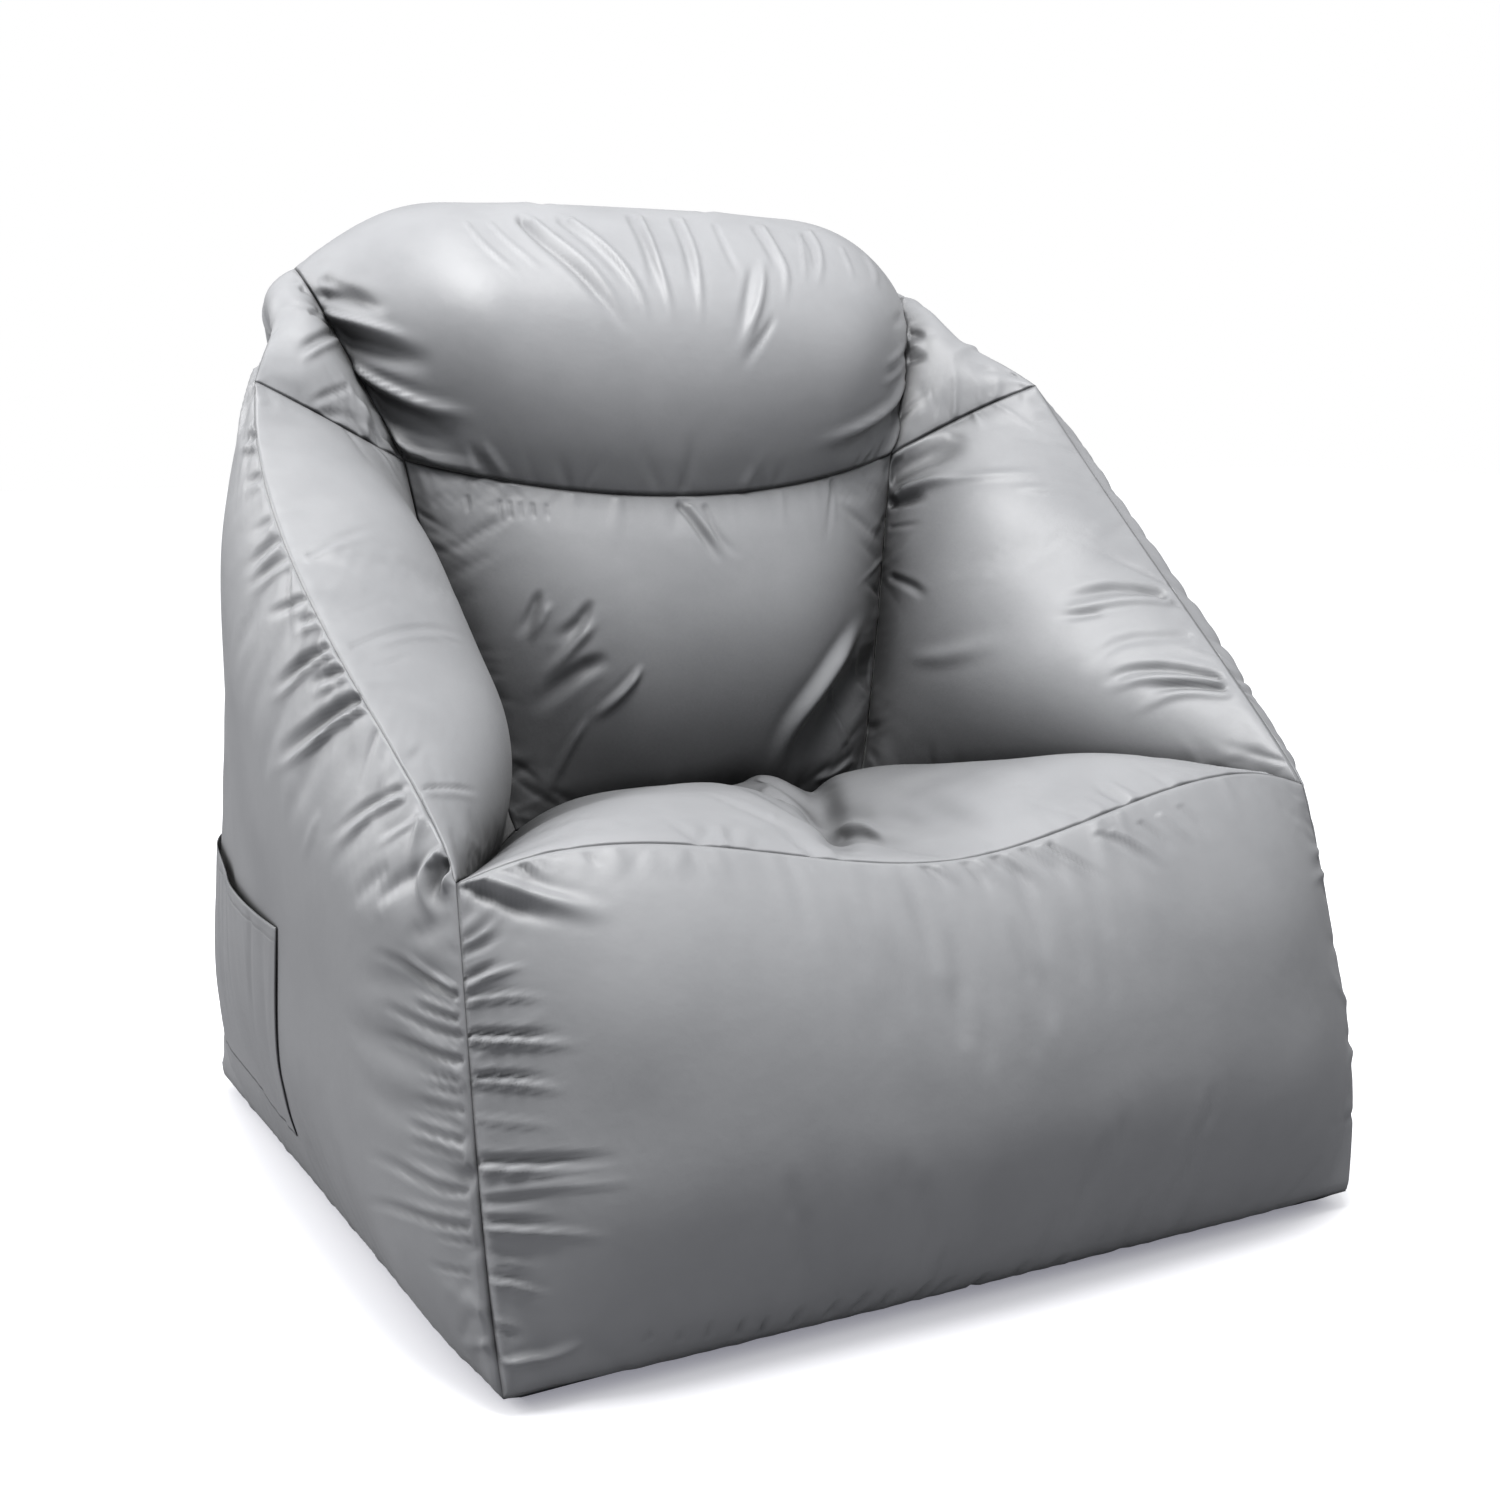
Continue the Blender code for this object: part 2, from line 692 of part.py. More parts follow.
def extruded(name, outline, along, finish, origin=(0.0, 0.0, 0.0)):
    """A prism: a flat outline of points, swept by a vector; the outline turns anticlockwise about it."""
    mesh = bpy.data.meshes.new(name)
    bm = bmesh.new()
    face = bm.faces.new([bm.verts.new(point) for point in outline])
    swept = bmesh.ops.extrude_face_region(bm, geom=[face])
    moved = [item for item in swept["geom"] if isinstance(item, bmesh.types.BMVert)]
    bmesh.ops.translate(bm, verts=moved, vec=along)
    bmesh.ops.recalc_face_normals(bm, faces=bm.faces)
    bm.to_mesh(mesh)
    bm.free()
    return add_object(name, mesh, finish, origin)


def turned(name, profile, finish, origin):
    """A solid of revolution about Y: a closed profile of radius and place along the axis."""
    mesh = bpy.data.meshes.new(name)
    bm = bmesh.new()
    ring = [bm.verts.new((radius, along, 0.0)) for radius, along in profile]
    off_axis = [n for n in range(len(ring)) if profile[n - 1][0] or profile[n][0]]
    edges = [bm.edges.new((ring[n - 1], ring[n])) for n in off_axis]
    bmesh.ops.spin(
        bm,
        geom=ring + edges,
        cent=(0.0, 0.0, 0.0),
        axis=(0.0, 1.0, 0.0),
        angle=2 * math.pi,
        steps=round_divisions,
        use_merge=True,
    )
    bmesh.ops.remove_doubles(bm, verts=bm.verts, dist=weld_distance)
    bmesh.ops.recalc_face_normals(bm, faces=bm.faces)
    bm.to_mesh(mesh)
    bm.free()
    mesh.shade_smooth()
    mesh.set_sharp_from_angle(angle=sharp_angle)
    return add_object(name, mesh, finish, origin)


def boolean(obj, other, operation):
    """Joins or cuts with a helper that stays out of the model."""
    other.hide_render = True
    other.display_type = "WIRE"
    step = obj.modifiers.new(operation.lower() + " " + other.name, "BOOLEAN")
    step.operation = operation
    step.object = other


def block(name, low, high, finish, origin=(0.0, 0.0, 0.0)):
    """A plain bar between two corners."""
    outline = [
        (low[0], low[1], low[2]),
        (high[0], low[1], low[2]),
        (high[0], high[1], low[2]),
        (low[0], high[1], low[2]),
    ]
    return extruded(name, outline, (0.0, 0.0, high[2] - low[2]), finish, origin)


def zip_tape(name, side, finish):
    """One tape with its half of the chain along the edge; side is 1 above and -1 below."""
    edge = side * chain_split / 2
    step = edge + side * chain_half_height
    far = edge + side * tape_width
    front = tape_thickness / 2
    bead = chain_thickness / 2
    outer = [(bead, edge), (bead, step), (front, step), (front, far)]
    profile = outer + [(-along, height) for along, height in reversed(outer)]
    outline = [(-zip_half_length, along, height) for along, height in profile]
    origin = (0.0, tape_middle, zip_height)
    return extruded(name, outline, (2 * zip_half_length, 0.0, 0.0), finish, origin)


def make_zip():
    tape = material("zip_tape", plastic_colour, plastic_roughness)
    metal = material("zip_metal", metal_colour, metal_roughness, 1.0)
    zip_tape("zip_tape_upper", 1, tape)
    zip_tape("zip_tape_lower", -1, tape)
    for name, side in (("zip_stop_left", -1), ("zip_stop_right", 1)):
        near = side * (zip_half_length + least_gap)
        far = near + side * stop_length
        low = (min(near, far), -stop_thickness / 2, -stop_height / 2)
        high = (max(near, far), stop_thickness / 2, stop_height / 2)
        block(name, low, high, metal, (0.0, tape_middle, zip_height))
    make_slider(metal)


def make_slider(metal):
    """Two plates joined by a blade in the chain's split, with lips over the chain and a bail."""
    inside = chain_thickness / 2 + slider_clearance
    outside = inside + slider_plate
    lip = tape_thickness / 2 + slider_clearance
    shoulder_line = slider_half_height - slider_flange
    blade = blade_thickness / 2
    upper_outer = [
        (inside, blade),
        (inside, shoulder_line),
        (lip, shoulder_line),
        (lip, slider_half_height),
        (outside, slider_half_height),
    ]
    lower_outer = [(along, -height) for along, height in reversed(upper_outer)]
    lower_inner = [(-along, -height) for along, height in upper_outer]
    upper_inner = [(-along, height) for along, height in reversed(upper_outer)]
    profile = upper_outer + lower_outer + lower_inner + upper_inner
    outline = [(-slider_length / 2, along, height) for along, height in profile]
    origin = (slider_rest, tape_middle, zip_height)
    slider = extruded("zip_slider", outline, (slider_length, 0.0, 0.0), metal, origin)
    sunk = outside - slider_plate / 2
    top = outside + bail_height
    inner_top = top - bail_leg
    inner_span = bail_half_span - bail_leg
    arch = [
        (-bail_half_span, sunk),
        (-inner_span, sunk),
        (-inner_span, inner_top),
        (inner_span, inner_top),
        (inner_span, sunk),
        (bail_half_span, sunk),
        (bail_half_span, top),
        (-bail_half_span, top),
    ]
    outline = [(along, out, -bail_width / 2) for along, out in arch]
    bail = extruded("slider_bail_helper", outline, (0.0, 0.0, bail_width), metal, origin)
    boolean(slider, bail, "UNION")
    pull_origin = (slider_rest, tape_middle + outside + pull_bar_rise, zip_height)
    half = pull_bar / 2
    pull_low = (-pull_length, -half, -pull_width / 2)
    pull = block("zip_pull", pull_low, (half, half, pull_width / 2), metal, pull_origin)
    eye = block(
        "pull_eye_cutter",
        (-half - pull_eye_length, -pull_bar, -pull_eye_width / 2),
        (-half, pull_bar, pull_eye_width / 2),
        metal,
        pull_origin,
    )
    boolean(pull, eye, "DIFFERENCE")


def make_valve():
    """A flanged base on the bladder, a screw-in insert with a one-way membrane, and a tethered cap."""
    white = material("valve_plastic", valve_colour, valve_roughness)
    soft = material("valve_membrane", film_colour, film_roughness)
    dark = material("valve_cap", plastic_colour, plastic_roughness)
    axis = (valve_side, rear_face, valve_height)
    ring_low = least_gap
    ring = [
        (ring_inner_radius, ring_low),
        (ring_outer_radius, ring_low),
        (ring_outer_radius, ring_low + ring_thickness / 2),
        (ring_outer_radius - ring_thickness / 2, ring_low + ring_thickness),
        (ring_inner_radius, ring_low + ring_thickness),
    ]
    turned("port_ring", ring, dark, axis)
    flange_low = -bladder_inset + base_flange_gap
    flange_high = flange_low + base_flange_thickness
    barrel = [
        (barrel_bore_radius, -barrel_depth),
        (barrel_radius, -barrel_depth),
        (barrel_radius, flange_low),
        (base_flange_radius, flange_low),
        (base_flange_radius, flange_high),
        (barrel_radius, flange_high),
        (barrel_radius, barrel_rise - 2 * lip_thickness),
        (lip_radius, barrel_rise - lip_thickness),
        (lip_radius, barrel_rise),
        (barrel_bore_radius, barrel_rise),
    ]
    turned("valve_base", barrel, white, axis)
    head_low = barrel_rise + least_gap
    head_high = head_low + insert_head_thickness
    insert_profile = [
        (insert_bore_radius, -insert_depth),
        (insert_radius, -insert_depth),
        (insert_radius, head_low),
        (insert_head_radius, head_low),
        (insert_head_radius, head_high),
        (insert_bore_radius, head_high),
    ]
    insert = turned("valve_insert", insert_profile, white, axis)
    low = -insert_depth
    high = low + spider_thickness
    arm = spider_arm_width / 2
    reach = (insert_bore_radius + insert_radius) / 2
    quarter = [(arm, arm), (arm, reach), (-arm, reach)]
    cross = []
    for _ in range(4):
        cross += quarter
        quarter = [(-height, side) for side, height in quarter]
    core = spider_core_share * spider_thickness
    outline = [(side, low + (spider_thickness - core) / 2, height) for side, height in cross]
    spider = extruded("spider_helper", outline, (0.0, core, 0.0), white, axis)
    stem_hole_radius = stem_radius + stem_clearance
    hole_profile = [
        (0.0, low - spider_thickness),
        (stem_hole_radius, low - spider_thickness),
        (stem_hole_radius, high + spider_thickness),
        (0.0, high + spider_thickness),
    ]
    stem_hole = turned("stem_hole_cutter", hole_profile, white, axis)
    boolean(insert, spider, "UNION")
    boolean(insert, stem_hole, "DIFFERENCE")
    sheet_high = low - least_gap
    sheet_low = sheet_high - membrane_thickness
    stem_top = high + least_gap
    membrane = [
        (0.0, sheet_low),
        (membrane_radius, sheet_low),
        (membrane_radius, sheet_high),
        (stem_radius, sheet_high),
        (stem_radius, stem_top),
        (bulb_radius, stem_top),
        (stem_radius, stem_top + bulb_length),
        (0.0, stem_top + bulb_length),
    ]
    turned("valve_membrane", membrane, soft, axis)
    make_cap(dark, axis, head_high)
    make_strap(dark, axis, head_high)


def make_cap(finish, axis, head_high):
    """The cap turns outwards about the end of its strap, below the valve."""
    seat = head_high + least_gap
    hinge_line = seat - least_gap / 2
    origin = (axis[0], axis[1] + hinge_line, axis[2] - cap_hinge_reach)
    low = seat - hinge_line
    high = low + cap_thickness
    plug = low - cap_plug_depth
    wall = cap_plug_radius - cap_plug_wall
    profile = [
        (0.0, low),
        (wall, low),
        (wall, plug),
        (cap_plug_radius, plug),
        (cap_plug_radius, low),
        (cap_radius, low),
        (cap_radius, high - cap_chamfer),
        (cap_radius - cap_chamfer, high),
        (0.0, high),
    ]
    centred = (axis[0], axis[1] + hinge_line, axis[2])
    cap = turned("valve_cap", profile, finish, centred)
    for vertex in cap.data.vertices:
        vertex.co.z += cap_hinge_reach
    cap.location = origin
    half = strap_width / 2
    lug_high = cap_hinge_reach - cap_radius / 2
    lug = block("cap_lug_helper", (-half, low, 0.0), (half, high, lug_high), finish, origin)
    tab_half = cap_tab_width / 2
    tab_low = cap_hinge_reach + cap_radius / 2
    tab_high = cap_hinge_reach + cap_tab_reach
    tab = block("cap_tab_helper", (-tab_half, low, tab_low), (tab_half, high, tab_high), finish, origin)
    boolean(cap, lug, "UNION")
    boolean(cap, tab, "UNION")


def make_strap(finish, axis, head_high):
    """A ring under the lip of the base, with a tongue that carries the cap's hinge."""
    low = strap_low
    high = strap_high
    inner = barrel_radius + least_gap
    outer = strap_ring_outer_radius
    profile = [(inner, low), (outer, low), (outer, high), (inner, high)]
    strap = turned("valve_strap", profile, finish, axis)
    half = strap_width / 2
    start = -(inner + outer) / 2
    end = least_gap - cap_hinge_reach
    tongue = block("strap_tongue_helper", (-half, low, end), (half, high, start), finish, axis)
    riser_high = (half, head_high, end + cap_hinge_block)
    riser = block("strap_riser_helper", (-half, low, end), riser_high, finish, axis)
    boolean(strap, tongue, "UNION")
    boolean(strap, riser, "UNION")


def centre_on_floor():
    """Moves the whole chair along Y so that its box is centred over the origin."""
    bpy.context.view_layer.update()
    graph = bpy.context.evaluated_depsgraph_get()
    reach = []
    for obj in bpy.data.objects:
        if obj.type == "MESH" and not obj.hide_render:
            solid = obj.evaluated_get(graph)
            reach += [(solid.matrix_world @ vertex.co).y for vertex in solid.data.vertices]
    middle = (min(reach) + max(reach)) / 2
    for obj in bpy.data.objects:
        obj.location.y -= middle


clear_scene()
cover_points, cover_quads, cover_numbers = welded(cover_grids.values())
base_points, base_triangles = floor_sheet(base_loop, 0.0, base_rim)
base_numbers = [cover_numbers[key(point)] for point in base_loop]
base_numbers += list(range(len(cover_points), len(cover_points) + len(base_points) - len(base_loop)))
all_points = np.concatenate([cover_points, base_points[len(base_loop) :]])
all_triangles = cut_quads(cover_points, cover_quads)
all_triangles += [tuple(base_numbers[corner] for corner in triangle) for triangle in base_triangles]
all_mitres = mitres(all_points, all_triangles)
outward = {name: all_mitres[number] for name, number in cover_numbers.items()}

rear_face = base_depth / 2 + rear_crown
strap_low = ring_thickness + 2 * least_gap
strap_high = strap_low + strap_thickness
barrel_rise = strap_high + least_gap + 2 * lip_thickness
tape_middle = rear_face - cover_thickness - least_gap - tape_thickness / 2
slider_rest = zip_half_length - slider_length / 2 - least_gap

make_cover(outward)
make_base_panel(outward)
make_pocket(outward)
bladder_outer, bladder_inner, bladder_triangles, bladder_numbers = bladder_shell()
make_bladder(bladder_outer, bladder_inner, bladder_triangles)
make_webs(bladder_inner, bladder_triangles, bladder_numbers)
cut_round_hole(bpy.data.objects["rear_upper_panel"], port_radius)
make_zip()
make_valve()
centre_on_floor()
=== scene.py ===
"""Dresses the inflatable lounge chair: its blown and gathered cover, bladder, zip, valve, floor and light."""

import itertools
import math

import bmesh
import bpy
import numpy as np
from mathutils import Matrix, Vector
from mathutils.bvhtree import BVHTree
from mathutils.kdtree import KDTree


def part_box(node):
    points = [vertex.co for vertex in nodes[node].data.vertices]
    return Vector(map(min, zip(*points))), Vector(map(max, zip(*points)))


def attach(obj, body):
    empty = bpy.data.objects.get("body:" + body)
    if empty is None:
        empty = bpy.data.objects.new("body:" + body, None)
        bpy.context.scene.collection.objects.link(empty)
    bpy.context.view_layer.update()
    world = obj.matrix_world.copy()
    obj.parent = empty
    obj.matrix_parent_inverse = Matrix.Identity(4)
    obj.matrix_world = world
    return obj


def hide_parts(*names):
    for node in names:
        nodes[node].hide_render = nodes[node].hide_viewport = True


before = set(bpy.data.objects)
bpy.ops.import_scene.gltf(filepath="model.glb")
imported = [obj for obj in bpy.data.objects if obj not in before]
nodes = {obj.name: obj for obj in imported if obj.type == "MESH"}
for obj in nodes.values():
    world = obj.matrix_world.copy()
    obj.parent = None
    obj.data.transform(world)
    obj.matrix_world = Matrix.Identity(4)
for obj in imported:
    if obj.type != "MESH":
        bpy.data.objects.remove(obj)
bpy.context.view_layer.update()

# Camera. The chair is seen from just left of its front and a little above the seat, with a short long lens.
# The folds of the cover are placed from here as well, so it comes first.
camera_place = Vector((-0.93051, -1.72772, 0.75244))
camera_turn = math.radians(-28.486)
camera_pitch = math.radians(9.959)
camera_roll = math.radians(0.14)
picture_side = 1500
focal_length = 2015.07
sensor_side = 36

camera_data = bpy.data.cameras.new("camera")
camera_data.sensor_width = sensor_side
camera_data.lens = sensor_side * focal_length / picture_side
camera = bpy.data.objects.new("camera", camera_data)
bpy.context.scene.collection.objects.link(camera)
bpy.context.scene.camera = camera
level_share = math.cos(camera_pitch)
looking = Vector(
    (-math.sin(camera_turn) * level_share, math.cos(camera_turn) * level_share, -math.sin(camera_pitch))
)
facing_turn = looking.to_track_quat("-Z", "Y").to_matrix().to_4x4()
camera.matrix_world = Matrix.Translation(camera_place) @ facing_turn @ Matrix.Rotation(camera_roll, 4, "Z")
to_camera = np.array(camera.matrix_world.inverted())


def in_picture(points):
    """Where points of the chair fall in the picture, in its own pixels."""
    seen = points @ to_camera[:3, :3].T + to_camera[:3, 3]
    return picture_side / 2 + focal_length * seen[..., :2] * (1, -1) / -seen[..., 2:]


# Cover. Twelve panels of coated polyester are cut to the chair's form and sewn edge to edge, inside out.
# Pulled over the bladder and blown tight, each one swells, and its seams gather the cloth beside them.
panel_facing = {
    "front_panel": (0, -1, 0),
    "seat_panel": (0, 0, 1),
    "backrest_panel": (0, -1, 0),
    "headrest_panel": (0, -1, 1),
    "right_inner_arm_panel": (-1, 0, 1),
    "left_inner_arm_panel": (1, 0, 1),
    "right_shoulder_panel": (0, -1, 1),
    "left_shoulder_panel": (0, -1, 1),
    "right_side_panel": (1, 0, 0),
    "left_side_panel": (-1, 0, 0),
    "rear_lower_panel": (0, 1, 0),
    "rear_upper_panel": (0, 1, 0),
}
# Sizes for reading the solids: their doubled points, their hems, and where one seam ends on another
doubled = 1e-5
hem_width = 0.0026
seam_reach = 0.0030
corner_guesses = 8
foot_slant = 0.3
cloth_steps = 5


def node_mesh(node):
    """A CAD node's faces, joined where they share a point."""
    mesh = bmesh.new()
    mesh.from_mesh(nodes[node].data)
    bmesh.ops.remove_doubles(mesh, verts=mesh.verts, dist=doubled)
    return mesh


def outer_face(node, facing):
    """The outer side of a panel's solid, without its hems and inner side."""
    mesh = node_mesh(node)
    hems = [f for f in mesh.faces if 2 * f.calc_area() / max(e.calc_length() for e in f.edges) < hem_width]
    bmesh.ops.delete(mesh, geom=hems, context="FACES")
    mesh.normal_update()
    outer, seen = [], set()
    for first in mesh.faces:
        if first in seen:
            continue
        island, waiting = [], [first]
        seen.add(first)
        while waiting:
            face = waiting.pop()
            island.append(face)
            for edge in face.edges:
                fresh = [f for f in edge.link_faces if f not in seen]
                seen.update(fresh)
                waiting += fresh
        leaning = sum((f.normal * f.calc_area() for f in island), Vector())
        if leaning.dot(Vector(facing)) > 0 and len(island) > len(outer):
            outer = island
    kept = set(outer)
    bmesh.ops.delete(mesh, geom=[f for f in mesh.faces if f not in kept], context="FACES")
    bmesh.ops.delete(mesh, geom=[v for v in mesh.verts if not v.link_faces], context="VERTS")
    return mesh


def cloth_grid(sheet):
    """The rows and columns of a panel's triangles, from its lower left corner seen from outside."""
    after = {e.link_loops[0].vert: e.link_loops[0].link_loop_next.vert for e in sheet.edges if e.is_boundary}
    border = [next(iter(after))]
    while after[border[-1]] is not border[0]:
        border.append(after[border[-1]])
    opening = [sum(loop.calc_angle() for loop in v.link_loops) for v in border]
    sharpest = sorted(int(n) for n in np.argsort(opening)[:corner_guesses])
    best = None
    for four in itertools.combinations(sharpest, 4):
        spans = np.diff([*four, four[0] + len(border)])
        fits = spans[0] == spans[2] and spans[1] == spans[3] and 2 * spans[0] * spans[1] == len(sheet.faces)
        if fits and (best is None or sum(opening[n] for n in four) < sum(opening[n] for n in best)):
            best = four
    sides = []
    for first, last in zip(best, [*best[1:], best[0] + len(border)]):
        sides.append([border[n % len(border)] for n in range(first, last + 1)])
    lowest = min(range(4), key=lambda n: np.mean([v.co.z + foot_slant * v.co.y for v in sides[n]]))
    bottom, left = sides[lowest], sides[lowest - 1][::-1]
    third = {}
    for face in sheet.faces:
        for loop in face.loops:
            third[loop.vert, loop.link_loop_next.vert] = loop.link_loop_prev.vert
    rows = [bottom]
    for start in left[1:]:
        row = [start]
        for a, b in zip(rows[-1], rows[-1][1:]):
            across = third[a, b]
            row.append(third[row[-1], b] if across is row[-1] else across)
        rows.append(row)
    return np.array([[tuple(v.co) for v in row] for row in rows])


def spline_weights(count, steps):
    """Weights that turn the points of a line into finer ones on a smooth curve through them."""
    system = np.eye(count + 1)
    second = np.zeros((count + 1, count + 1))
    for n in range(1, count):
        system[n, n - 1 : n + 2] = (1, 4, 1)
        second[n, n - 1 : n + 2] = (6, -12, 6)
    bend = np.linalg.solve(system, second)
    t = np.linspace(0, count, count * steps + 1)
    low = np.minimum(t.astype(int), count - 1)
    share = (t - low)[:, None]
    points = np.eye(count + 1)
    lower, upper = points[low], points[low + 1]
    curve = ((1 - share) ** 3 - (1 - share)) / 6 * bend[low] + (share**3 - share) / 6 * bend[low + 1]
    return (1 - share) * lower + share * upper + curve


def seam_curve(line, corners, steps):
    """A border's finer points, with a bend kept wherever a seam of another panel meets it."""
    breaks = [n for n, point in enumerate(line) if corners.find(point)[2] < seam_reach]
    breaks = sorted({0, *breaks, len(line) - 1})
    parts = [line[:1]]
    for first, last in zip(breaks, breaks[1:]):
        parts.append((spline_weights(last - first, steps) @ line[first : last + 1])[1:])
    return np.concatenate(parts)


def fine_grid(grid, corners, steps):
    """The panel's grid, as many steps finer each way, with its borders on the seams."""
    along = spline_weights(len(grid) - 1, steps)
    across = spline_weights(grid.shape[1] - 1, steps)
    fine = np.einsum("ia,jb,abk->ijk", along, across, grid, optimize=True)
    v = np.linspace(0, 1, fine.shape[0])[:, None, None]
    u = np.linspace(0, 1, fine.shape[1])[None, :, None]
    low = seam_curve(grid[0], corners, steps) - fine[0]
    high = seam_curve(grid[-1], corners, steps) - fine[-1]
    left = seam_curve(grid[:, 0], corners, steps) - fine[:, 0]
    right = seam_curve(grid[:, -1], corners, steps) - fine[:, -1]
    fine = fine + low[None] * (1 - v) ** 3 + high[None] * v**3
    return fine + left[:, None] * (1 - u) ** 3 + right[:, None] * u**3


def point_tree(points, numbers):
    """The points with these numbers, to be found by their place."""
    tree = KDTree(len(numbers))
    for number in numbers:
        tree.insert(points[number], int(number))
    tree.balance()
    return tree


def grid_cells(numbers):
    """The four corners of every cell in a grid of point numbers."""
    corners = [numbers[:-1, :-1], numbers[:-1, 1:], numbers[1:, 1:], numbers[1:, :-1]]
    return np.stack(corners, axis=-1).reshape(-1, 4)


coarse = {}
rear_sheets = bmesh.new()
for node, facing in panel_facing.items():
    sheet = outer_face(node, facing)
    if node.startswith("rear"):
        flat = bpy.data.meshes.new(node)
        sheet.to_mesh(flat)
        rear_sheets.from_mesh(flat)
        bpy.data.meshes.remove(flat)
    else:
        coarse[node] = cloth_grid(sheet)
    sheet.free()

# The upright back: its columns run from the foot to the seams above, and the zip crosses it level.
# The sheet between the seams is found by looking through it from behind.
behind = 1.0
rear_tree = BVHTree.FromBMesh(rear_sheets)
rear_edge = coarse["right_side_panel"][:, -1]
top_rows = [coarse[node][-1] for node in ("left_shoulder_panel", "headrest_panel", "right_shoulder_panel")]
rear_top = np.concatenate([top_rows[0], top_rows[1][1:], top_rows[2][1:]])[::-1]
rear_foot = rear_edge[0] * np.linspace((1, 1, 1), (-1, 1, 1), len(rear_top))
zip_height = (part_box("zip_slider")[0].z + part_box("zip_slider")[1].z) / 2
zip_row = int(np.argmin(abs(rear_edge[:, 2] - zip_height)))
lower_share = np.minimum((rear_edge[:, 2] - rear_edge[0, 2]) / (zip_height - rear_edge[0, 2]), 1)
upper_share = np.maximum((rear_edge[:, 2] - zip_height) / (rear_edge[-1, 2] - zip_height), 0)
rear = np.zeros((len(rear_edge), len(rear_top), 3))
for r, c in np.ndindex(rear.shape[:2]):
    foot, top = rear_foot[c], rear_top[c]
    height = foot[2] + (zip_height - foot[2]) * lower_share[r] + (top[2] - zip_height) * upper_share[r]
    x = foot[0] + (top[0] - foot[0]) * (height - foot[2]) / (top[2] - foot[2])
    met = rear_tree.ray_cast((x, behind, height), (0, -1, 0))[0]
    if met is None:
        met = rear_tree.find_nearest((x, rear[r - 1, c, 1], height))[0]
    rear[r, c] = (x, met.y, height)
rear[0], rear[-1] = rear_foot, rear_top
rear[:, 0], rear[:, -1] = rear_edge, rear_edge * (-1, 1, 1)
rear_sheets.free()

corner_points = [grid[r, c] for grid in coarse.values() for r in (0, -1) for c in (0, -1)]
corner_points += [rear[zip_row, 0], rear[zip_row, -1]]
corners = point_tree(corner_points, range(len(corner_points)))
panels = {node: fine_grid(grid, corners, cloth_steps) for node, grid in coarse.items()}
fine_rear = fine_grid(rear, corners, cloth_steps)
split = zip_row * cloth_steps
panels["rear_lower_panel"] = fine_rear[: split + 1].copy()
panels["rear_upper_panel"] = fine_rear[split:].copy()

# The zip's slit: the two rear panels part by the width of its chain, and close again past its ends.
slit_half_height = 0.008
slit_end = 0.298
slit_taper = 0.012
for node, row, side in (("rear_lower_panel", -1, -1), ("rear_upper_panel", 0, 1)):
    line = panels[node][row]
    line[:, 2] += side * slit_half_height * np.clip((slit_end - abs(line[:, 0])) / slit_taper, 0, 1)

# The seams: where two panels' borders lie side by side, their points become one.
first_of = {}
count = 0
panel_of = []
for number, (node, grid) in enumerate(panels.items()):
    first_of[node] = count
    count += grid.shape[0] * grid.shape[1]
    panel_of += [number] * (grid.shape[0] * grid.shape[1])
points = np.concatenate([grid.reshape(-1, 3) for grid in panels.values()])
borders = []
for node, grid in panels.items():
    rim = np.zeros(grid.shape[:2], bool)
    rim[[0, -1]] = True
    rim[:, [0, -1]] = True
    borders.append(first_of[node] + np.flatnonzero(rim.ravel()))
seam_points = np.concatenate(borders)
seam_tree = point_tree(points, seam_points)
weld_reach = 0.0024
partners = {}
for number in seam_points:
    for _, other, _ in sorted(seam_tree.find_range(points[number], weld_reach), key=lambda found: -found[2]):
        if panel_of[other] != panel_of[number]:
            partners[int(number), panel_of[other]] = other
same_as = list(range(count))


def first_same(number):
    """The first of the points that became one with this one."""
    while same_as[number] != number:
        number = same_as[number]
    return number


for (number, panel), other in partners.items():
    if partners.get((other, panel_of[number])) == number:
        low, high = sorted((first_same(number), first_same(other)))
        same_as[high] = low
same_as = np.array([first_same(number) for number in same_as])
vertex_of = np.unique(same_as, return_inverse=True)[1]
shares = np.bincount(vertex_of)
cloth_points = np.stack([np.bincount(vertex_of, points[:, k]) / shares for k in range(3)], axis=1)
vertices = {}
quads = []
for node, grid in panels.items():
    rows, columns = grid.shape[:2]
    here = vertex_of[first_of[node] : first_of[node] + rows * columns].reshape(rows, columns)
    vertices[node] = here
    quads.append(grid_cells(here))
quads = np.concatenate(quads)


def grid_lengths(grid):
    """The cloth's length along each row from its left end, and up each column from its foot."""
    across = np.linalg.norm(np.diff(grid, axis=1), axis=2)
    upward = np.linalg.norm(np.diff(grid, axis=0), axis=2)
    across = np.concatenate([np.zeros((len(grid), 1)), np.cumsum(across, axis=1)], axis=1)
    upward = np.concatenate([np.zeros((1, grid.shape[1])), np.cumsum(upward, axis=0)], axis=0)
    return across, upward


def seam_distance(grid):
    """How far each point of a panel is from the panel's nearest border."""
    across, upward = grid_lengths(grid)
    sideways = np.minimum(across, across[:, -1:] - across)
    return np.minimum(sideways, np.minimum(upward, upward[-1:] - upward))


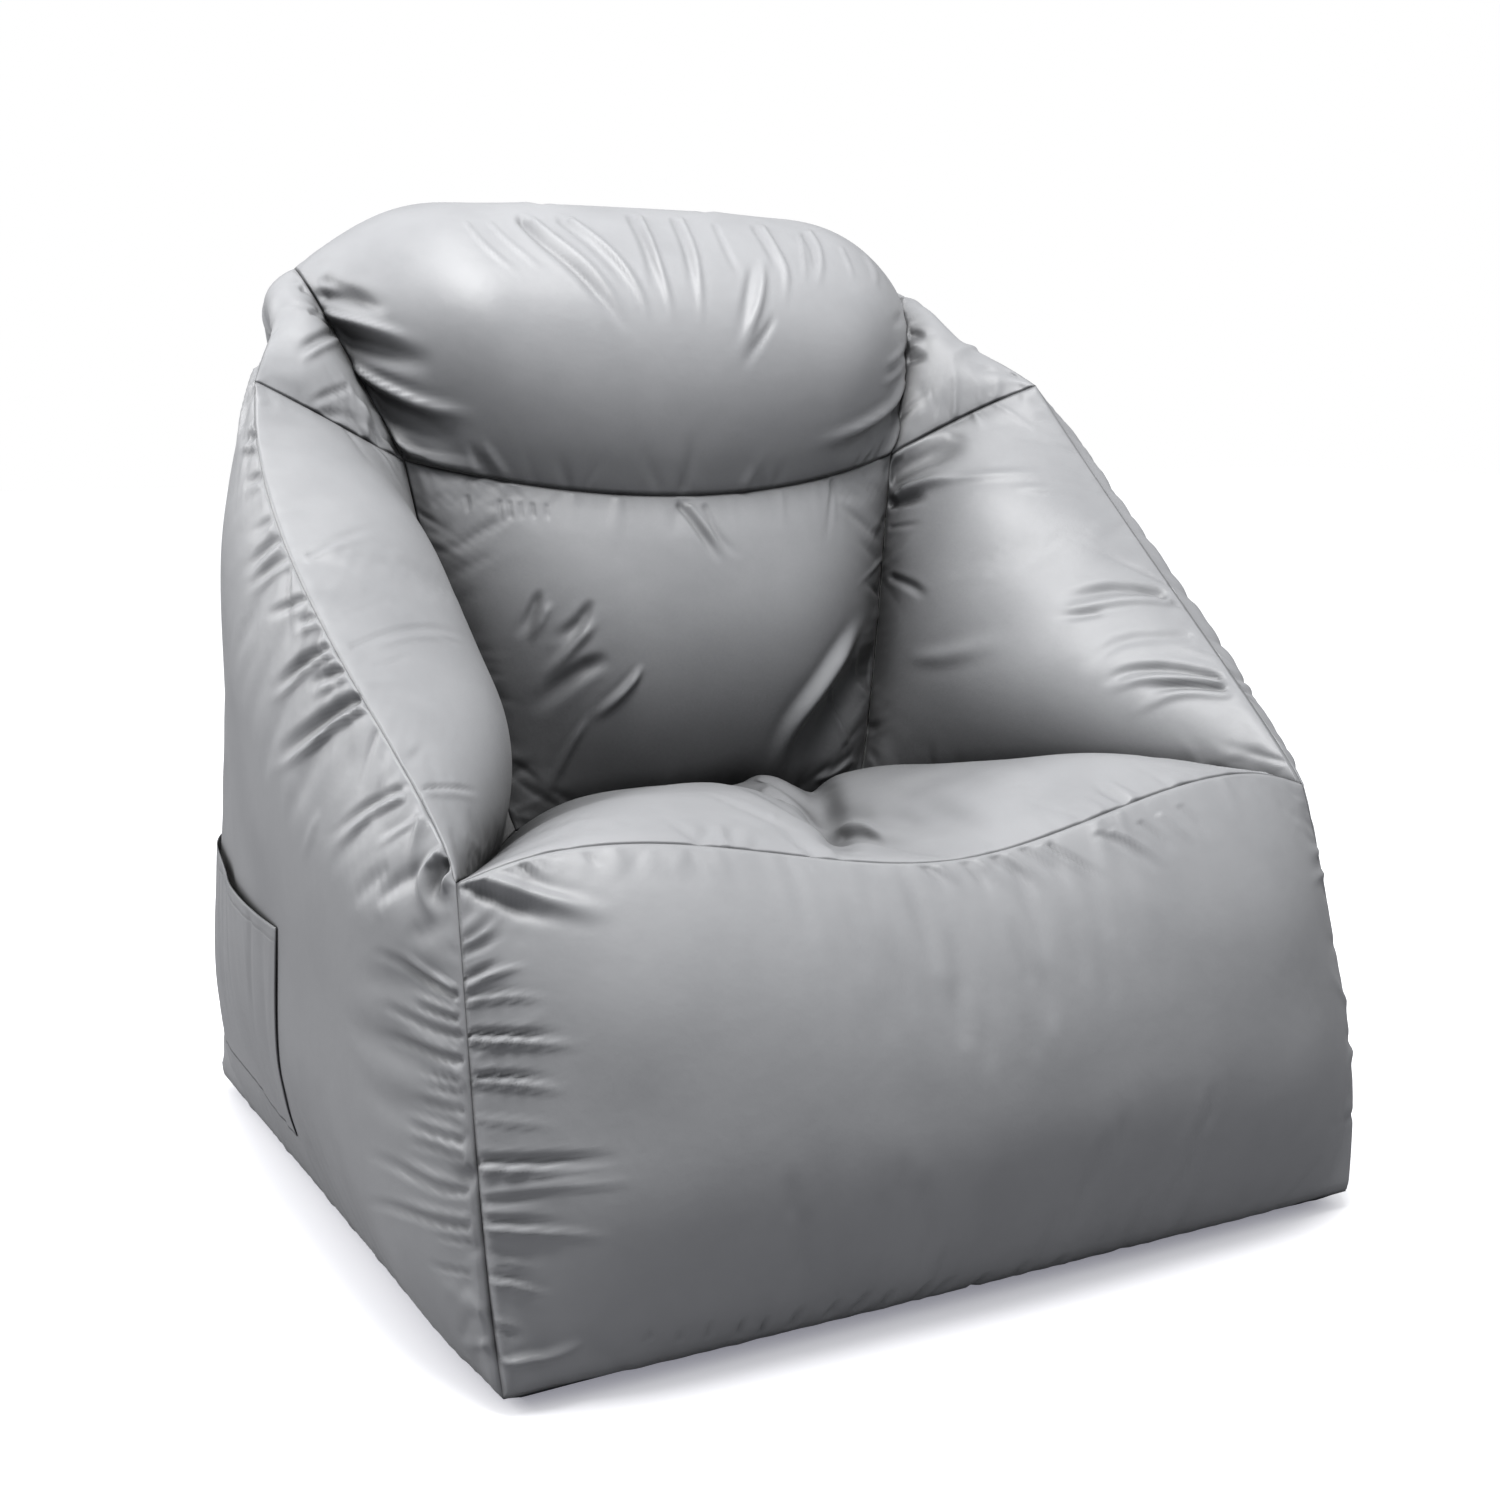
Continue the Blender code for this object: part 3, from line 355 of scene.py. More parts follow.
# The swelling: the cloth is larger than the cut shape, most of all beside the seams, and air fills it.
gather_reach = 0.10
seam_fullness = 0.060
cloth_fullness = 0.004
on_a_seam = 1e-6
swelling_steps = 20
cloth_settings = {
    "quality": 5,
    "mass": 0.3,
    "tension_stiffness": 15,
    "compression_stiffness": 15,
    "shear_stiffness": 5,
    "bending_stiffness": 1,
    "tension_damping": 5,
    "compression_damping": 5,
    "air_damping": 1,
    "use_pressure": True,
    "uniform_pressure_force": 6,
    "vertex_group_mass": "held",
    "vertex_group_shrink": "gathered",
    "shrink_min": -cloth_fullness,
    "shrink_max": -seam_fullness,
}
valve_centre = (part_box("port_ring")[0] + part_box("port_ring")[1]) / 2
held_round_valve = 0.052
held_by_zip = 0.03


def blown_up(points, quads):
    """How far air moves each point of the welded cover, whose seams are held where they are."""
    distance = np.full(len(points), gather_reach)
    for here in vertices.values():
        np.minimum.at(distance, here, seam_distance(points[here]))
    mesh = bpy.data.meshes.new("blown cover")
    mesh.from_pydata(points.tolist(), [], quads.tolist())
    blown = bpy.data.objects.new("blown cover", mesh)
    bpy.context.scene.collection.objects.link(blown)
    pinned = distance < on_a_seam
    behind_seat = points[:, 1] > valve_centre.y - held_by_zip
    from_valve = np.hypot(points[:, 0] - valve_centre.x, points[:, 2] - valve_centre.z)
    from_zip = np.hypot(np.maximum(abs(points[:, 0]) - slit_end, 0), points[:, 2] - zip_height)
    pinned |= behind_seat & ((from_valve < held_round_valve) | (from_zip < held_by_zip))
    blown.vertex_groups.new(name="held").add(np.flatnonzero(pinned).tolist(), 1, "REPLACE")
    gathered = blown.vertex_groups.new(name="gathered")
    weight = np.round(np.clip(1 - distance / gather_reach, 0, 1), 2)
    for value in np.unique(weight):
        gathered.add(np.flatnonzero(weight == value).tolist(), float(value), "REPLACE")
    cloth = blown.modifiers.new("Cloth", "CLOTH")
    for name, value in cloth_settings.items():
        setattr(cloth.settings, name, value)
    cloth.settings.effector_weights.gravity = 0
    cloth.collision_settings.use_collision = False
    cloth.point_cache.frame_start, cloth.point_cache.frame_end = 1, swelling_steps
    scene = bpy.context.scene
    for step in range(swelling_steps):
        scene.frame_set(step + 1)
    settled = np.empty(len(points) * 3)
    blown.evaluated_get(bpy.context.evaluated_depsgraph_get()).data.vertices.foreach_get("co", settled)
    scene.frame_set(1)
    bpy.data.objects.remove(blown)
    bpy.data.meshes.remove(mesh)
    return settled.reshape(-1, 3) - points


swelling = blown_up(cloth_points, quads)

# Folds. Air pulls the cloth into folds that run out from the seams. Those that the picture shows are drawn
# where they are: half width in its pixels, height in millimetres (below zero sinks), 1 where the fold
# starts in full at a seam or 0 where it starts from nothing, and the line that it follows.
drawn_folds = {
    "headrest_panel": [
        (3, 1.6, 1, (466, 225), (492, 253), (526, 279)),
        (3, 1.4, 1, (490, 225), (510, 244), (532, 262), (550, 277)),
        (6, -5.5, 1, (521, 222), (545, 245), (577, 272), (602, 301), (622, 323), (638, 336)),
        (4, 3.4, 1, (533, 222), (556, 240), (588, 266), (612, 295), (630, 320)),
        (4, 3.6, 1, (571, 222), (599, 242), (624, 268), (642, 299), (651, 331)),
        (5, -2.2, 1, (560, 222), (590, 246), (614, 270), (632, 300)),
        (4, 3.4, 1, (640, 220), (651, 244), (660, 271), (668, 299), (674, 329)),
        (5, -2.4, 1, (630, 220), (643, 246), (651, 272), (658, 298)),
        (4, 2.8, 1, (681, 222), (691, 244), (697, 268), (700, 302), (701, 332)),
        (4, -2.2, 1, (673, 222), (683, 246), (689, 270), (691, 296)),
        (4, -1.6, 1, (715, 228), (731, 262), (743, 283)),
        (6, 4.6, 0, (762, 255), (761, 286), (755, 314), (742, 345), (731, 362)),
        (5, -3.4, 0, (774, 310), (769, 326), (749, 357), (740, 371)),
        (5, -2.4, 0, (752, 262), (746, 296), (738, 334)),
        (4, 2.8, 1, (763, 230), (780, 259), (786, 280), (783, 310)),
        (4, -1.8, 1, (754, 230), (771, 258), (777, 282)),
        (3, 1.6, 1, (800, 240), (804, 271), (801, 288)),
        (4, 2.6, 1, (809, 234), (818, 250), (820, 271), (815, 291)),
        (3, -1.8, 1, (803, 236), (812, 254), (813, 274)),
        (3, 1.4, 1, (841, 250), (850, 271), (852, 284)),
        (4, 2.0, 1, (866, 257), (875, 277), (873, 291)),
        (4, 2.8, 1, (886, 266), (897, 284), (901, 303)),
        (3, -2.2, 1, (878, 262), (889, 284), (893, 300)),
        (6, -3.6, 1, (912, 303), (900, 318), (891, 330)),
        (4, 2.0, 1, (901, 350), (891, 360), (882, 368)),
        (4, -1.8, 1, (900, 362), (889, 370), (880, 376)),
        (4, 1.8, 1, (899, 372), (888, 380), (877, 386)),
        (6, 6.0, 1, (902, 382), (890, 404), (868, 421), (838, 436), (806, 446)),
        (9, -6.0, 1, (902, 402), (884, 424), (858, 444), (822, 456)),
        (5, 5.5, 1, (897, 418), (885, 452), (866, 473), (835, 489), (795, 498), (750, 500)),
        (6, -4.0, 1, (897, 446), (884, 466), (860, 486)),
        (8, -3.5, 1, (328, 282), (352, 292), (382, 301)),
        (10, -8.5, 1, (326, 296), (352, 301), (392, 314)),
        (6, 6.5, 1, (328, 314), (346, 320), (366, 325), (414, 340)),
        (12, -10.0, 1, (334, 336), (380, 350), (440, 368)),
        (7, 8.5, 1, (344, 362), (372, 379), (410, 399), (441, 409), (484, 418)),
        (13, -11.5, 1, (354, 386), (400, 415), (470, 444)),
        (7, 8.5, 1, (374, 420), (403, 446), (434, 459), (474, 468), (500, 482)),
        (10, -8.0, 1, (385, 442), (415, 470), (478, 490)),
        (6, 2.4, 0, (478, 438), (501, 470), (515, 494)),
        (5, -2.0, 0, (466, 440), (487, 472), (499, 492)),
    ],
    "left_inner_arm_panel": [
        (4, -1.2, 1, (308, 555), (338, 539), (384, 526)),
        (4, 1.0, 1, (306, 561), (338, 547), (380, 536)),
        (4, -1.4, 1, (352, 647), (400, 631), (443, 631), (480, 645)),
        (4, 1.2, 0, (360, 655), (402, 640), (446, 640), (484, 656)),
        (3, -0.8, 1, (346, 616), (392, 600)),
        (3, -0.8, 1, (374, 668), (416, 655)),
        (3, -1.0, 0, (430, 636), (470, 648)),
        (3, -1.8, 1, (423, 789), (450, 788), (482, 794)),
        (4, 1.2, 1, (420, 796), (450, 795), (480, 800)),
        (8, -2.5, 0, (343, 400), (352, 424), (384, 440)),
    ],
    "left_shoulder_panel": [
        (5, -3.0, 1, (303, 290), (322, 294)),
        (4, -2.5, 1, (311, 313), (328, 313)),
        (6, -4.0, 1, (334, 331), (314, 341), (293, 354)),
        (5, 3.0, 1, (334, 342), (314, 352), (296, 364)),
        (5, -3.0, 1, (345, 388), (322, 397), (305, 408)),
        (6, -3.0, 0, (268, 421), (299, 417), (324, 415), (350, 418), (382, 440)),
    ],
    "left_side_panel": [
        (6, -3.6, 1, (267, 431), (256, 436), (241, 446)),
        (4, 2.6, 1, (267, 440), (254, 445), (240, 453)),
        (5, -2.6, 1, (268, 449), (256, 453), (241, 459)),
        (5, -3.2, 1, (271, 471), (258, 478), (243, 489)),
        (4, 1.8, 1, (273, 480), (259, 487), (246, 497)),
        (6, -2.6, 1, (284, 514), (268, 524), (247, 542)),
        (6, -3.2, 1, (290, 532), (268, 549), (244, 577)),
        (4, 2.0, 1, (293, 539), (272, 556), (250, 584)),
        (5, -2.2, 1, (299, 552), (274, 567), (242, 593)),
        (4, 1.6, 1, (301, 559), (278, 573), (248, 598)),
        (5, -3.6, 1, (318, 591), (292, 605), (262, 619)),
        (5, -4.4, 1, (327, 610), (305, 621), (296, 626)),
        (4, 2.2, 1, (330, 617), (308, 629), (290, 638)),
        (6, -4.6, 1, (343, 643), (317, 653), (292, 674), (269, 697)),
        (4, 3.0, 1, (346, 651), (320, 662), (297, 682), (268, 705)),
        (6, -4.2, 1, (352, 665), (323, 679), (308, 690)),
        (4, 2.2, 1, (355, 673), (326, 689), (310, 702)),
        (8, -6.0, 1, (367, 692), (332, 714), (299, 741), (270, 766)),
        (5, 4.6, 1, (370, 704), (338, 725), (304, 752), (268, 776)),
        (5, -1.6, 1, (412, 784), (378, 796)),
        (5, 3.0, 1, (402, 799), (369, 818), (330, 854)),
        (5, -2.0, 1, (400, 791), (366, 808), (328, 842)),
        (4, 1.6, 1, (420, 820), (394, 836), (374, 850)),
        (5, 1.2, 0, (322, 808), (312, 836), (303, 866)),
        (8, -7.0, 1, (458, 851), (446, 864), (438, 880), (437, 897), (447, 914)),
        (7, 6.0, 1, (452, 846), (434, 862), (426, 882), (427, 902), (436, 926)),
        (5, 4.0, 1, (456, 872), (448, 884), (444, 896)),
        (5, -3.4, 1, (456, 996), (431, 981), (398, 960), (366, 950)),
        (4, 2.6, 1, (455, 988), (431, 972), (400, 951)),
        (4, -2.6, 1, (457, 1019), (434, 1011), (410, 1000)),
        (4, 2.0, 1, (457, 1012), (434, 1003), (408, 990)),
        (5, -3.0, 1, (461, 1036), (431, 1027), (396, 1010), (372, 1003)),
        (5, -3.0, 1, (461, 1061), (434, 1053), (396, 1037), (370, 1032)),
        (4, 2.2, 1, (460, 1052), (434, 1043), (400, 1028)),
        (3, -2.2, 1, (463, 1080), (436, 1074), (414, 1066)),
        (3, -2.0, 1, (463, 1093), (436, 1087), (418, 1082)),
        (4, -2.4, 1, (464, 1111), (434, 1103), (408, 1094)),
        (4, -2.8, 1, (465, 1141), (434, 1132), (402, 1118)),
        (4, 2.0, 1, (465, 1132), (434, 1122), (404, 1110)),
        (4, -2.6, 1, (466, 1157), (431, 1145), (404, 1138)),
        (5, -3.2, 1, (469, 1191), (438, 1185), (398, 1163), (366, 1152)),
        (4, 2.2, 1, (469, 1182), (438, 1174), (402, 1154)),
        (5, -3.4, 1, (471, 1226), (438, 1220), (396, 1205), (360, 1200)),
        (4, 2.2, 1, (471, 1216), (438, 1209), (400, 1196)),
        (3, -2.0, 1, (473, 1241), (452, 1237), (436, 1232)),
        (3, -2.0, 1, (475, 1271), (448, 1266), (430, 1258)),
    ],
    "front_panel": [
        (11, 7.0, 1, (461, 870), (507, 888), (561, 905), (620, 918)),
        (10, -4.0, 1, (466, 886), (510, 905), (560, 922)),
        (4, -2.4, 0, (503, 852), (522, 866), (542, 886)),
        (4, 2.0, 0, (508, 848), (530, 864), (550, 884)),
        (4, -1.6, 0, (541, 843), (561, 862)),
        (4, -1.6, 0, (583, 850), (600, 870)),
        (4, 2.4, 1, (456, 948), (488, 931), (501, 910)),
        (5, -2.4, 1, (456, 958), (486, 944), (508, 930)),
        (4, 3.4, 1, (461, 990), (488, 978), (515, 969), (534, 971)),
        (5, -3.4, 1, (460, 981), (488, 967), (504, 962)),
        (4, 2.8, 1, (463, 1004), (500, 998), (530, 998), (556, 1002)),
        (4, -2.0, 1, (463, 996), (498, 990), (524, 990)),
        (5, 3.8, 1, (465, 1041), (526, 1043), (588, 1046)),
        (5, -4.0, 1, (465, 1033), (520, 1034), (566, 1036)),
        (5, 3.4, 1, (467, 1083), (515, 1084), (574, 1092)),
        (4, -3.4, 1, (467, 1075), (512, 1075), (556, 1080)),
        (4, 1.6, 1, (469, 1118), (520, 1122), (568, 1126)),
        (6, -4.4, 1, (471, 1159), (534, 1159), (580, 1158), (630, 1156)),
        (4, 3.6, 1, (472, 1167), (515, 1169), (570, 1169)),
        (5, 2.4, 1, (473, 1193), (534, 1185), (590, 1182), (648, 1178)),
        (4, -2.4, 1, (473, 1201), (520, 1196), (560, 1192)),
        (5, 3.6, 1, (474, 1226), (526, 1228), (570, 1230), (616, 1233)),
        (5, -3.2, 1, (474, 1217), (520, 1217), (566, 1220)),
        (4, 2.6, 1, (476, 1254), (520, 1259), (546, 1266)),
        (4, 3.4, 1, (478, 1280), (515, 1282), (556, 1292)),
        (4, -2.4, 1, (478, 1271), (514, 1273), (540, 1278)),
        (4, -3.0, 1, (481, 1321), (500, 1327), (522, 1336)),
        (4, 2.4, 1, (480, 1313), (502, 1318), (526, 1326)),
        (6, 4.5, 1, (495, 1360), (553, 1347), (590, 1328)),
        (3, -2.0, 0, (640, 1338), (645, 1328), (648, 1318)),
        (3, -1.8, 0, (672, 1336), (677, 1326), (680, 1316)),
        (3, -3.0, 0, (703, 1334), (706, 1322), (710, 1308)),
        (3, -2.6, 0, (732, 1330), (737, 1318), (742, 1306)),
        (3, -2.8, 0, (754, 1328), (760, 1316), (766, 1304)),
        (4, -3.4, 0, (784, 1322), (793, 1308), (800, 1296)),
        (4, -2.6, 0, (818, 1312), (829, 1300), (838, 1290)),
        (4, -3.2, 0, (846, 1306), (857, 1294), (868, 1280)),
        (4, -3.0, 0, (872, 1304), (883, 1290), (893, 1278)),
        (4, -3.4, 0, (906, 1298), (918, 1284), (930, 1270)),
        (4, -3.0, 0, (930, 1288), (943, 1275), (953, 1264)),
        (4, -2.6, 0, (962, 1288), (975, 1274), (990, 1262)),
        (4, -2.0, 0, (1006, 1272), (1018, 1260), (1028, 1250)),
        (4, -1.6, 0, (1044, 1262), (1056, 1252), (1064, 1244)),
        (5, -2.8, 1, (902, 848), (925, 868), (952, 892)),
        (4, 2.4, 1, (918, 850), (944, 872), (966, 892)),
        (5, -2.6, 1, (948, 850), (972, 872), (996, 898)),
        (4, 2.4, 1, (962, 848), (992, 874), (1012, 894)),
        (5, -2.6, 1, (978, 848), (1018, 876), (1040, 904)),
        (4, 2.2, 1, (994, 846), (1030, 872), (1054, 894)),
        (5, -2.6, 1, (1018, 846), (1050, 868), (1072, 890)),
        (4, 2.2, 1, (1040, 846), (1078, 868), (1110, 890)),
        (5, -2.4, 1, (1050, 846), (1090, 872), (1116, 896)),
        (5, -2.2, 1, (1098, 836), (1128, 848), (1160, 874)),
        (4, 2.0, 1, (1112, 832), (1140, 846), (1170, 870)),
        (4, -1.8, 1, (1140, 824), (1160, 838), (1176, 856)),
        (4, 1.8, 1, (1160, 816), (1178, 830), (1194, 846)),
        (4, -1.6, 1, (1180, 808), (1198, 824), (1210, 840)),
    ],
    "seat_panel": [
        (5, 3.0, 1, (838, 826), (866, 828), (892, 846)),
        (6, -3.4, 1, (842, 834), (872, 838), (888, 848)),
        (18, -6.0, 0, (872, 812), (950, 824), (1002, 800)),
        (6, -2.4, 0, (1088, 784), (1122, 802), (1148, 822)),
        (6, 2.0, 0, (1100, 782), (1134, 800), (1160, 816)),
        (6, 1.6, 0, (770, 796), (774, 812), (768, 832)),
    ],
    "backrest_panel": [
        (3, -1.6, 1, (467, 497), (468, 508), (469, 516)),
        (3, -1.8, 1, (499, 502), (500, 514), (500, 522)),
        (3, -1.6, 1, (509, 503), (510, 516), (510, 524)),
        (3, -1.6, 1, (520, 504), (521, 517), (521, 524)),
        (3, -1.6, 1, (532, 505), (533, 516), (534, 522)),
        (3, -1.4, 1, (546, 506), (547, 517), (548, 523)),
        (5, -3.6, 1, (680, 506), (702, 536), (720, 566)),
        (4, 2.4, 1, (690, 506), (710, 534), (727, 562)),
        (5, -2.0, 1, (705, 508), (722, 541), (742, 560)),
        (7, -3.6, 0, (541, 588), (528, 620), (516, 640)),
        (6, 2.6, 0, (552, 600), (540, 624), (528, 644)),
        (8, -4.6, 0, (592, 598), (579, 622), (551, 645)),
        (7, 3.6, 0, (598, 618), (574, 646), (540, 682)),
        (11, -6.0, 0, (612, 656), (585, 668), (558, 688), (530, 716)),
        (6, 5.0, 0, (642, 662), (630, 684), (604, 710), (588, 722)),
        (6, 2.6, 0, (592, 712), (569, 748), (540, 806)),
        (9, 9.0, 0, (864, 612), (831, 668), (802, 710), (784, 742), (766, 794)),
        (18, -13.0, 0, (878, 640), (850, 690), (822, 734), (800, 780)),
        (4, 3.6, 0, (828, 676), (835, 700), (842, 730), (848, 764)),
        (5, 3.6, 0, (810, 782), (836, 771), (850, 762), (854, 776)),
        (4, 2.8, 0, (857, 650), (862, 684), (869, 706), (864, 722)),
        (5, -2.6, 1, (888, 514), (880, 530), (874, 546)),
        (5, -2.4, 1, (889, 560), (880, 584), (872, 604)),
        (5, 2.0, 1, (888, 590), (876, 616), (870, 640)),
    ],
    "right_inner_arm_panel": [
        (8, -6.5, 1, (898, 402), (936, 386), (978, 379)),
        (8, 7.0, 1, (900, 432), (938, 410), (973, 399), (1012, 400)),
        (8, -6.0, 1, (898, 446), (936, 424), (984, 412)),
        (15, -15.0, 1, (892, 474), (921, 458), (972, 440)),
        (8, 5.5, 1, (898, 496), (930, 484), (966, 474)),
        (6, 2.4, 1, (906, 489), (952, 480), (1013, 475), (1068, 478), (1094, 490)),
        (6, 1.8, 0, (1010, 489), (1059, 491), (1097, 500)),
        (7, -6.0, 1, (892, 504), (930, 494)),
        (4, -1.8, 1, (892, 528), (925, 523)),
        (6, -3.4, 1, (894, 578), (915, 588), (929, 601)),
        (7, -5.6, 1, (1162, 597), (1154, 594), (1120, 590), (1090, 594), (1054, 602)),
        (6, 3.0, 1, (1168, 603), (1136, 601), (1098, 605), (1050, 612)),
        (6, -2.4, 0, (1110, 612), (1080, 616), (1050, 619)),
        (8, -2.6, 1, (1188, 638), (1136, 640), (1105, 652), (1078, 676)),
        (6, -5.4, 1, (1218, 678), (1185, 671), (1151, 669), (1120, 675), (1096, 692)),
        (5, 3.6, 1, (1220, 684), (1175, 680), (1135, 682), (1103, 696)),
        (5, -3.4, 1, (1223, 690), (1181, 687), (1135, 693)),
        (6, 2.2, 1, (1226, 697), (1190, 694), (1160, 700), (1124, 720)),
        (12, 2.6, 0, (904, 659), (952, 655), (1016, 636)),
    ],
    "right_shoulder_panel": [
        (5, -4.0, 1, (904, 334), (928, 335)),
        (5, -3.6, 1, (902, 362), (930, 357)),
        (5, 3.0, 1, (904, 347), (928, 346)),
        (6, -2.4, 1, (1034, 380), (1015, 374), (996, 372)),
    ],
    "right_side_panel": [
        (4, -2.6, 1, (1101, 493), (1112, 498), (1124, 506)),
        (4, -3.4, 1, (1113, 514), (1126, 523), (1139, 534)),
        (4, -2.8, 1, (1128, 533), (1148, 546)),
        (5, -4.0, 1, (1135, 545), (1146, 551), (1157, 560)),
        (4, -3.0, 1, (1144, 563), (1167, 577)),
        (5, -4.2, 1, (1153, 576), (1166, 580), (1180, 588)),
        (5, -4.6, 1, (1160, 594), (1180, 600), (1199, 610)),
        (4, -3.0, 1, (1174, 612), (1195, 623)),
        (4, -3.2, 1, (1184, 625), (1207, 635)),
        (4, -3.0, 1, (1193, 640), (1220, 651)),
        (5, -4.0, 1, (1205, 655), (1232, 669)),
        (5, -4.2, 1, (1217, 677), (1233, 681), (1251, 690)),
        (4, -2.8, 1, (1236, 701), (1268, 715)),
        (4, -2.4, 1, (1257, 726), (1287, 741)),
    ],
}
# Shares of a fold's line over which it fades at its end and rises at its start, how much wider it ends
# than it starts, and how high its rims are. No fold reaches down to the bladder, and each starts just
# off its seam and is drawn only where the picture looks at the cloth, not along it.
fold_fade = 0.55
fold_rise = 0.3
fold_spread = 0.35
fold_rim = 0.9
fold_widths = 3
fold_line_steps = 8
millimetres = 1000
fold_start = 0.006
deepest_fold = 0.013
grazing = 0.3

# Short puckers beside every seam: the mean space between them, their length, half width, height and slant.
# Between them the cloth puffs up a little beside the seam. Some panels are calmer than the rest.
pucker_space = 0.020
pucker_lengths = (0.018, 0.085)
pucker_widths = (0.0028, 0.0060)
pucker_height = 0.0019
least_pucker = 0.4
pucker_slant = 0.35
seam_puff = 0.0016
seam_puff_reach = 0.006
foot_calm = 0.25
calm_panels = {
    "left_inner_arm_panel": 0.35,
    "right_inner_arm_panel": 0.5,
    "headrest_panel": 0.55,
    "seat_panel": 0.6,
    "backrest_panel": 0.6,
    "front_panel": 0.6,
    "left_shoulder_panel": 0.7,
    "right_shoulder_panel": 0.7,
}
fold_steps = {node: 3 for node in panel_facing}
fold_steps["rear_lower_panel"] = fold_steps["rear_upper_panel"] = 2

# Each upright panel rolls out a little above the floor, and the right side more so beside the arm's seam,
# where it rises within the first reach and is gone at twice the second, and fades towards floor and back.
foot_rolls = {
    "front_panel": 0.007,
    "left_side_panel": 0.003,
    "right_side_panel": 0.003,
    "rear_lower_panel": 0.004,
}
foot_roll_reach = (0.030, 0.14)
rim_roll = 0.021
rim_roll_reach = (0.034, 0.15)
rim_roll_floor = (0.36, 0.16)
rim_roll_back = (0.30, 0.22)

# The seat's left lobe stands above the slanting crease that parts it from the right one. The crease is
# given seen from above, from the front seam to the back, with how far the lobe reaches each way.
seat_crease = ((-0.085, -0.33), (0.000, -0.17), (0.060, -0.05), (0.100, 0.04), (0.120, 0.12))
lobe_height = 0.027
lobe_edge = 0.050
lobe_width = 0.26
lobe_front = (-0.28, -0.10)
crease_depth = 0.012
crease_width = 0.016


def smooth_share(values):
    """Shares from 0 to 1 that start and end gently."""
    share = np.clip(values, 0, 1)
    return share * share * (3 - 2 * share)


def roll_heights(distance, height, reach):
    """A roll of cloth that rises within its first reach from a line and is gone at twice its second."""
    return height * smooth_share(distance / reach[0]) * (1 - smooth_share(distance / reach[1] - 1))


def grid_normals(grid):
    """The outward direction of the cloth at each point of a panel."""
    normals = np.cross(np.gradient(grid, axis=1), np.gradient(grid, axis=0))
    return normals / (np.linalg.norm(normals, axis=-1, keepdims=True) + 1e-12)


def drawn_heights(seen, folds):
    """How far the drawn folds raise or sink the cloth at its places in the picture."""
    heights = np.zeros(seen.shape[:-1])
    for width, height, at_seam, *line in folds:
        line = spline_weights(len(line) - 1, fold_line_steps) @ np.array(line, float)
        reach = fold_widths * width
        near = np.all((seen > line.min(axis=0) - reach) & (seen < line.max(axis=0) + reach), axis=-1)
        if not near.any():
            continue
        places = seen[near]
        steps = np.diff(line, axis=0)
        lengths = np.linalg.norm(steps, axis=1)
        before = np.concatenate([[0], np.cumsum(lengths)])
        gap = np.full(len(places), np.inf)
        share = np.zeros(len(places))
        for first, step, length, done in zip(line, steps, lengths, before):
            along = np.clip((places - first) @ step / length**2, 0, 1)
            distance = np.linalg.norm(places - first - along[:, None] * step, axis=1)
            nearer = distance < gap
            gap[nearer] = distance[nearer]
            share[nearer] = (done + along[nearer] * length) / before[-1]
        across = (gap / (width * (1 - fold_spread / 2 + fold_spread * share))) ** 2
        fade = smooth_share((1 - share) / fold_fade)
        if not at_seam:
            fade *= smooth_share(share / fold_rise)
        heights[near] += height / millimetres * (1 - fold_rim * across) * np.exp(-across) * fade
    return heights


def lobe_heights(grid):
    """How far the seat's left lobe rises beside its crease, and how deep the crease is."""
    crease_x, crease_y = np.array(seat_crease).T
    left = np.interp(grid[..., 1], crease_y, crease_x) - grid[..., 0]
    lobe = smooth_share(left / lobe_edge) * smooth_share((lobe_width - left) / (lobe_width - lobe_edge))
    ahead = smooth_share((grid[..., 1] - lobe_front[0]) / (lobe_front[1] - lobe_front[0]))
    return lobe_height * lobe * ahead - crease_depth * np.exp(-((left / crease_width) ** 2))


def pucker_heights(grid, calm, at_foot, random):
    """Short puckers of chance size that run out from all four borders of a panel, fainter at its foot."""
    across, upward = grid_lengths(grid)
    heights = np.zeros(grid.shape[:2])
    ways = [
        (upward, across[:1] + 0 * across, at_foot),
        (upward[-1:] - upward, across[-1:] + 0 * across, 1),
        (across, upward[:, :1] + 0 * upward, 1),
        (across[:, -1:] - across, upward[:, -1:] + 0 * upward, 1),
    ]
    for away, along, strength in ways:
        near = away < pucker_lengths[1]
        away, along = away[near], along[near]
        total = along.max()
        raised = np.zeros(len(away))
        for _ in range(int(total / pucker_space)):
            place = random.uniform(0, total)
            length = random.uniform(*pucker_lengths)
            width = random.uniform(*pucker_widths)
            slant = random.normal(0, pucker_slant)
            height = random.normal(0, pucker_height) * (least_pucker + length / pucker_lengths[1])
            gap = (along - place - slant * away) / (width * (1 + away / length))
            raised += height * np.exp(-gap * gap) * smooth_share(1 - away / length)
        heights[near] += calm * strength * raised
    return heights


